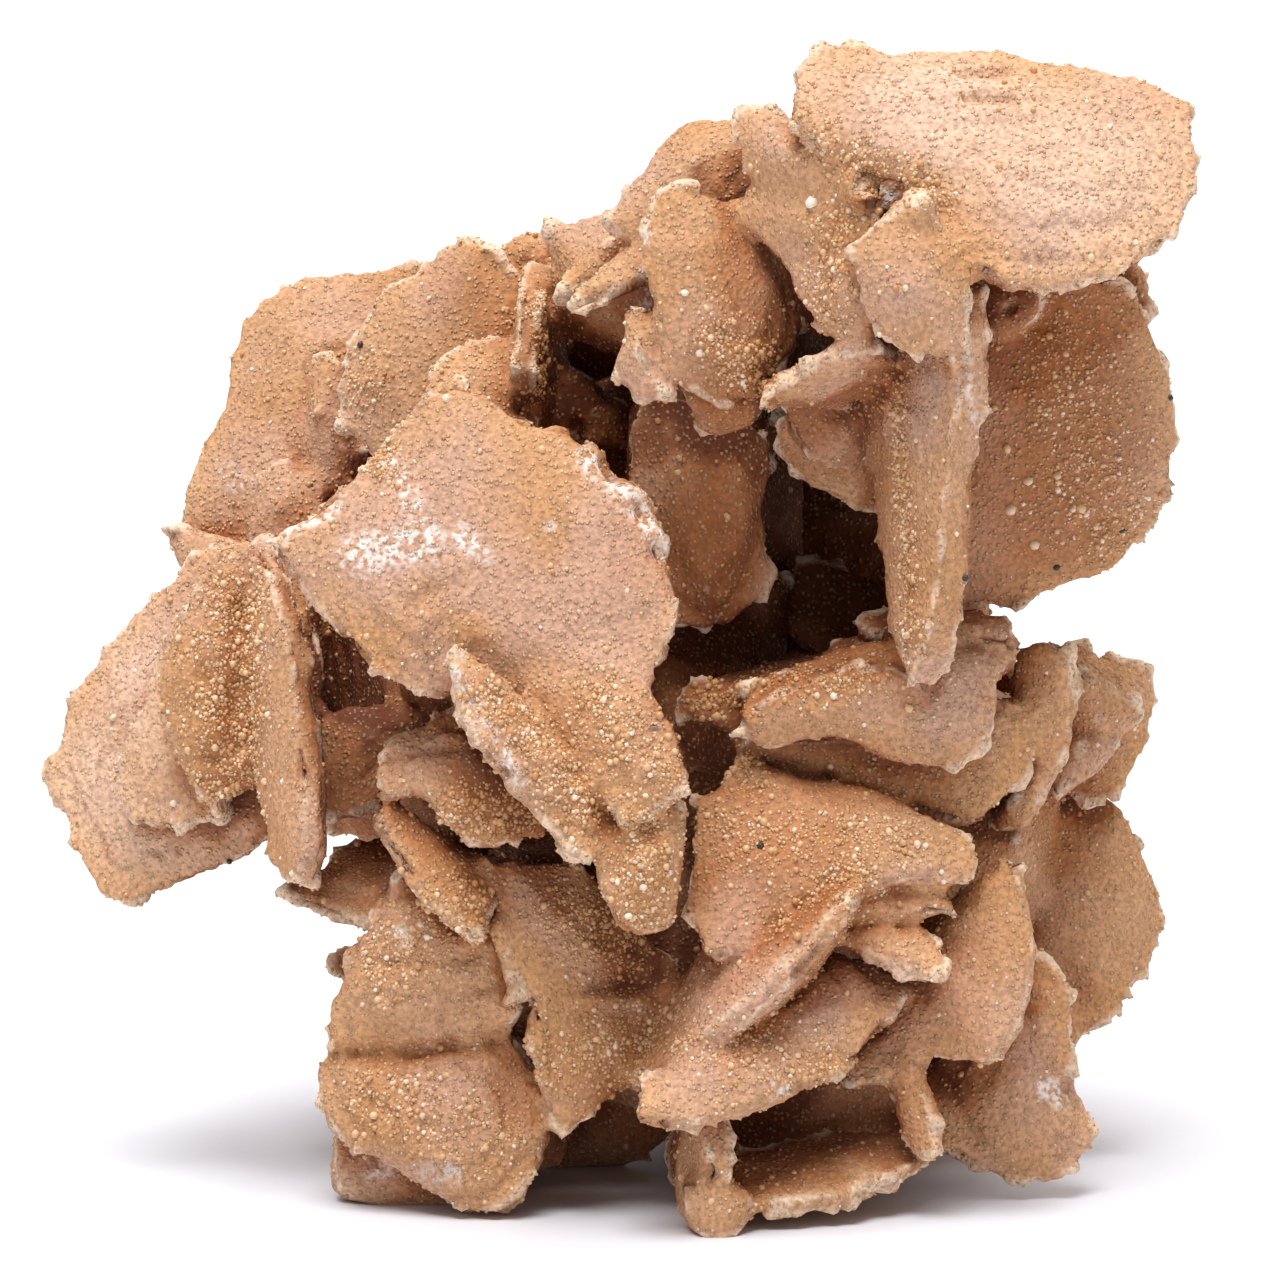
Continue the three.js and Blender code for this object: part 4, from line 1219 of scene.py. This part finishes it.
@dataclass
class SandCrust(Sand):
    """Dune sand cemented to the blades, thickest on rims, in hollows and on sandy stretches.

    The fields from open_face to sandy are grains to a square millimetre: on open faces, and
    what rims, hollows and sandy stretches add.
    """

    name: str
    seed: int
    median_mm: float
    most_mm: float
    least_mm: float
    rounded: bool
    open_face: float
    rim: float
    hollow: float
    sandy: float
    spread: float = 0.24
    patch_mm: float = 3.0
    proud: tuple[float, float] = (-0.45, 0.35)

    def build(self, blades: bpy.types.Object) -> bpy.types.Object:
        """Makes one joined mesh of grains on the blades.

        Args:
            blades: The piece that the sand sits on.

        Returns:
            The piece of sand.
        """
        beads = Beads(self.rounded)
        rng = np.random.default_rng(self.seed)
        most = MOST_TRIANGLES // len(beads.faces)
        middles, normals, painted_shade = self._places(blades.data, rng, most)
        count = len(middles)
        size = self.median_mm * np.exp(self.spread * rng.standard_normal(count))
        radii = np.clip(size, self.least_mm, self.most_mm) * MM / 2
        sunk = middles + normals * (radii * rng.uniform(*self.proud, count))[:, None]
        # Grains are darker where the blades close them in: painted shade
        shades = 0.05 + 0.95 * rng.beta(2.0, 2.2, count) * (1 - 0.75 * painted_shade)
        mesh = beads.mesh(self.name, sunk, radii, shades, rng)
        LOG.info("%s: %d grains, %d triangles", self.name, count, len(mesh.polygons))
        return new_piece(self.name, mesh)

    def _places(
        self, mesh: bpy.types.Mesh, rng: np.random.Generator, most: int
    ) -> tuple[np.ndarray, np.ndarray, np.ndarray]:
        """Draws the places of the grains.

        Args:
            mesh: The blades' mesh.
            rng: The source of chance.
            most: The largest number of grains.

        Returns:
            The places, the surface normals there and how much painted shade each place gets from
            how closed in it is.
        """
        surface = Surface(mesh)
        normals = surface.write()
        mesh.calc_loop_triangles()
        flat = np.empty(len(mesh.loop_triangles) * 3, dtype=np.int64)
        mesh.loop_triangles.foreach_get("vertices", flat)
        trios = flat.reshape(-1, 3)
        one, two, three = (surface.points[trios[:, i]] for i in range(3))
        area = np.linalg.norm(np.cross(two - one, three - one), axis=1) / 2 / MM**2
        rim, hollow, sand, shelter_and_shade = (
            read_mark(mesh, mark) for mark in (Mark.RIM, Mark.HOLLOW, Mark.SAND, Mark.SHELTER_AND_SHADE)
        )
        patchy = 1 + 0.75 * lattice_noise(surface.points, self.patch_mm, self.seed)
        density = (self.open_face + self.rim * rim + self.hollow * hollow) * patchy
        density = np.maximum(density, 0.1) + self.sandy * sand
        # Fewer grains on the feet and deep inside
        reached = 1 - 0.9 * ramp(shelter_and_shade, 0.75, 0.95)
        density *= ramp(surface.points[:, 2], -0.2 * MM, 0.5 * MM) * reached
        weight = density[trios].mean(axis=1) * area
        count = min(int(weight.sum()), most)
        chosen = rng.choice(len(trios), size=count, p=weight / weight.sum())
        shares = rng.dirichlet((1, 1, 1), count)
        blend = np.einsum("nk,nkj->nj", shares, surface.points[trios[chosen]])
        facing = np.einsum("nk,nkj->nj", shares, normals[trios[chosen]])
        painted_shade = ramp(shelter_and_shade[trios[chosen, 0]], 0.1, 0.8)
        return blend, facing / np.linalg.norm(facing, axis=1, keepdims=True), painted_shade


@dataclass
class OddGrains(Sand):
    """The few grains that stand out by their size or their dark colour."""

    sheet: FrontSheet
    name: str = "odd_grains"
    seed: int = 14

    def build(self, blades: bpy.types.Object) -> bpy.types.Object:
        """Makes the grains on the front of the blades.

        Args:
            blades: The piece that the grains sit on.

        Returns:
            The piece with the odd grains.
        """
        surface = Surface(blades.data)
        tree = search_tree(surface)
        found = [(self.sheet.seen(tree, g.across, g.height), g) for g in ODD_GRAINS]
        met = [(place, grain) for place, grain in found if place is not None]
        middles = np.array([place for place, _ in met])
        radii = np.array([grain.size_mm for _, grain in met]) * MM / 2
        shades = np.array([grain.shade for _, grain in met])
        rng = np.random.default_rng(self.seed)
        mesh = Beads(rounded=True).mesh(self.name, middles, radii, shades, rng)
        LOG.info("%s: %d grains", self.name, len(met))
        return new_piece(self.name, mesh)


@dataclass(frozen=True)
class Lamp:
    """A broad lamp far off: where it hangs, how bright it is and how wide it looks."""

    name: str
    place: tuple[float, float, float]
    strength: float
    width_deg: float


@dataclass
class Studio:
    """White table, soft lamps and the camera."""

    sheet: FrontSheet
    floor_m: float = 4.0
    sky: float = 0.3
    lamps: tuple[Lamp, ...] = (
        Lamp("key", (-0.1, -0.3, 1.0), 3.9, 36.0),
        Lamp("back", (0.4, 0.7, 0.8), 1.3, 60.0),
    )
    sensor_mm: float = 36.0

    def build(self) -> None:
        """Makes the floor, the light and the camera."""
        self._floor()
        self._sky()
        for lamp in self.lamps:
            self._hang(lamp)
        self._camera()
        LOG.info("studio: floor, lamps and camera")

    def _floor(self) -> None:
        """Lays the white table."""
        half = self.floor_m
        mesh = bpy.data.meshes.new("table")
        corners = [(-half, -half, 0), (half, -half, 0), (half, half, 0), (-half, half, 0)]
        mesh.from_pydata(corners, [], [(0, 1, 2, 3)])
        mesh.materials.append(WhiteSweep().material())
        new_piece("table", mesh)

    def _sky(self) -> None:
        """Sets an even white light from all round."""
        world = bpy.data.worlds.new("white_room")
        world.use_nodes = True
        back = world.node_tree.nodes["Background"]
        back.inputs["Color"].default_value = (1, 1, 1, 1)
        back.inputs["Strength"].default_value = self.sky
        bpy.context.scene.world = world

    def _hang(self, lamp: Lamp) -> None:
        """Hangs a lamp that shines on the object and evenly on the table.

        Args:
            lamp: The lamp's place, strength and width.
        """
        data = bpy.data.lights.new(lamp.name, "SUN")
        data.energy = lamp.strength
        data.angle = math.radians(lamp.width_deg)
        hung = bpy.data.objects.new(lamp.name, data)
        hung.location = lamp.place
        hung.rotation_euler = (-Vector(lamp.place)).to_track_quat("-Z", "Y").to_euler()
        bpy.context.scene.collection.objects.link(hung)

    def _camera(self) -> None:
        """Puts the camera at the eye of the front sheet."""
        data = bpy.data.cameras.new("camera")
        data.sensor_width = self.sensor_mm
        data.lens = self.sensor_mm * self.sheet.distance_mm / self.sheet.width_mm
        data.clip_start = 0.01
        data.clip_end = 20
        camera = bpy.data.objects.new("camera", data)
        camera.location = self.sheet.eye()
        camera.rotation_euler = self.sheet.axes()[2].to_track_quat("-Z", "Y").to_euler()
        bpy.context.scene.collection.objects.link(camera)
        bpy.context.scene.camera = camera
        bpy.context.scene.view_settings.view_transform = "Standard"


def main() -> None:
    """Builds the studio, the blades and the sand, and notes the sizes."""
    logging.basicConfig(level=logging.INFO, format="%(name)s: %(message)s")
    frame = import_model()
    sheet = FrontSheet()
    Studio(sheet).build()
    blades = CrystalBlades(sheet)
    whole = blades.build(frame["nodes"][NODE])
    sand = DuneSand().material()
    for crust in (
        SandCrust("sand_fine", 11, 0.23, 0.32, 0.14, False, 0.45, 0.8, 1.4, 11.0),
        SandCrust("sand_medium", 12, 0.29, 0.4, 0.18, False, 0.35, 0.6, 1.6, 9.0),
        SandCrust("sand_coarse", 13, 0.38, 0.56, 0.26, True, 0.06, 0.1, 0.3, 2.6),
        OddGrains(sheet),
    ):
        crust.dress(crust.build(whole), sand)
    stone = SandyGypsum().material()
    for piece in blades.halves(whole):
        blades.dress(piece, stone)


if __name__ == "__main__":
    main()
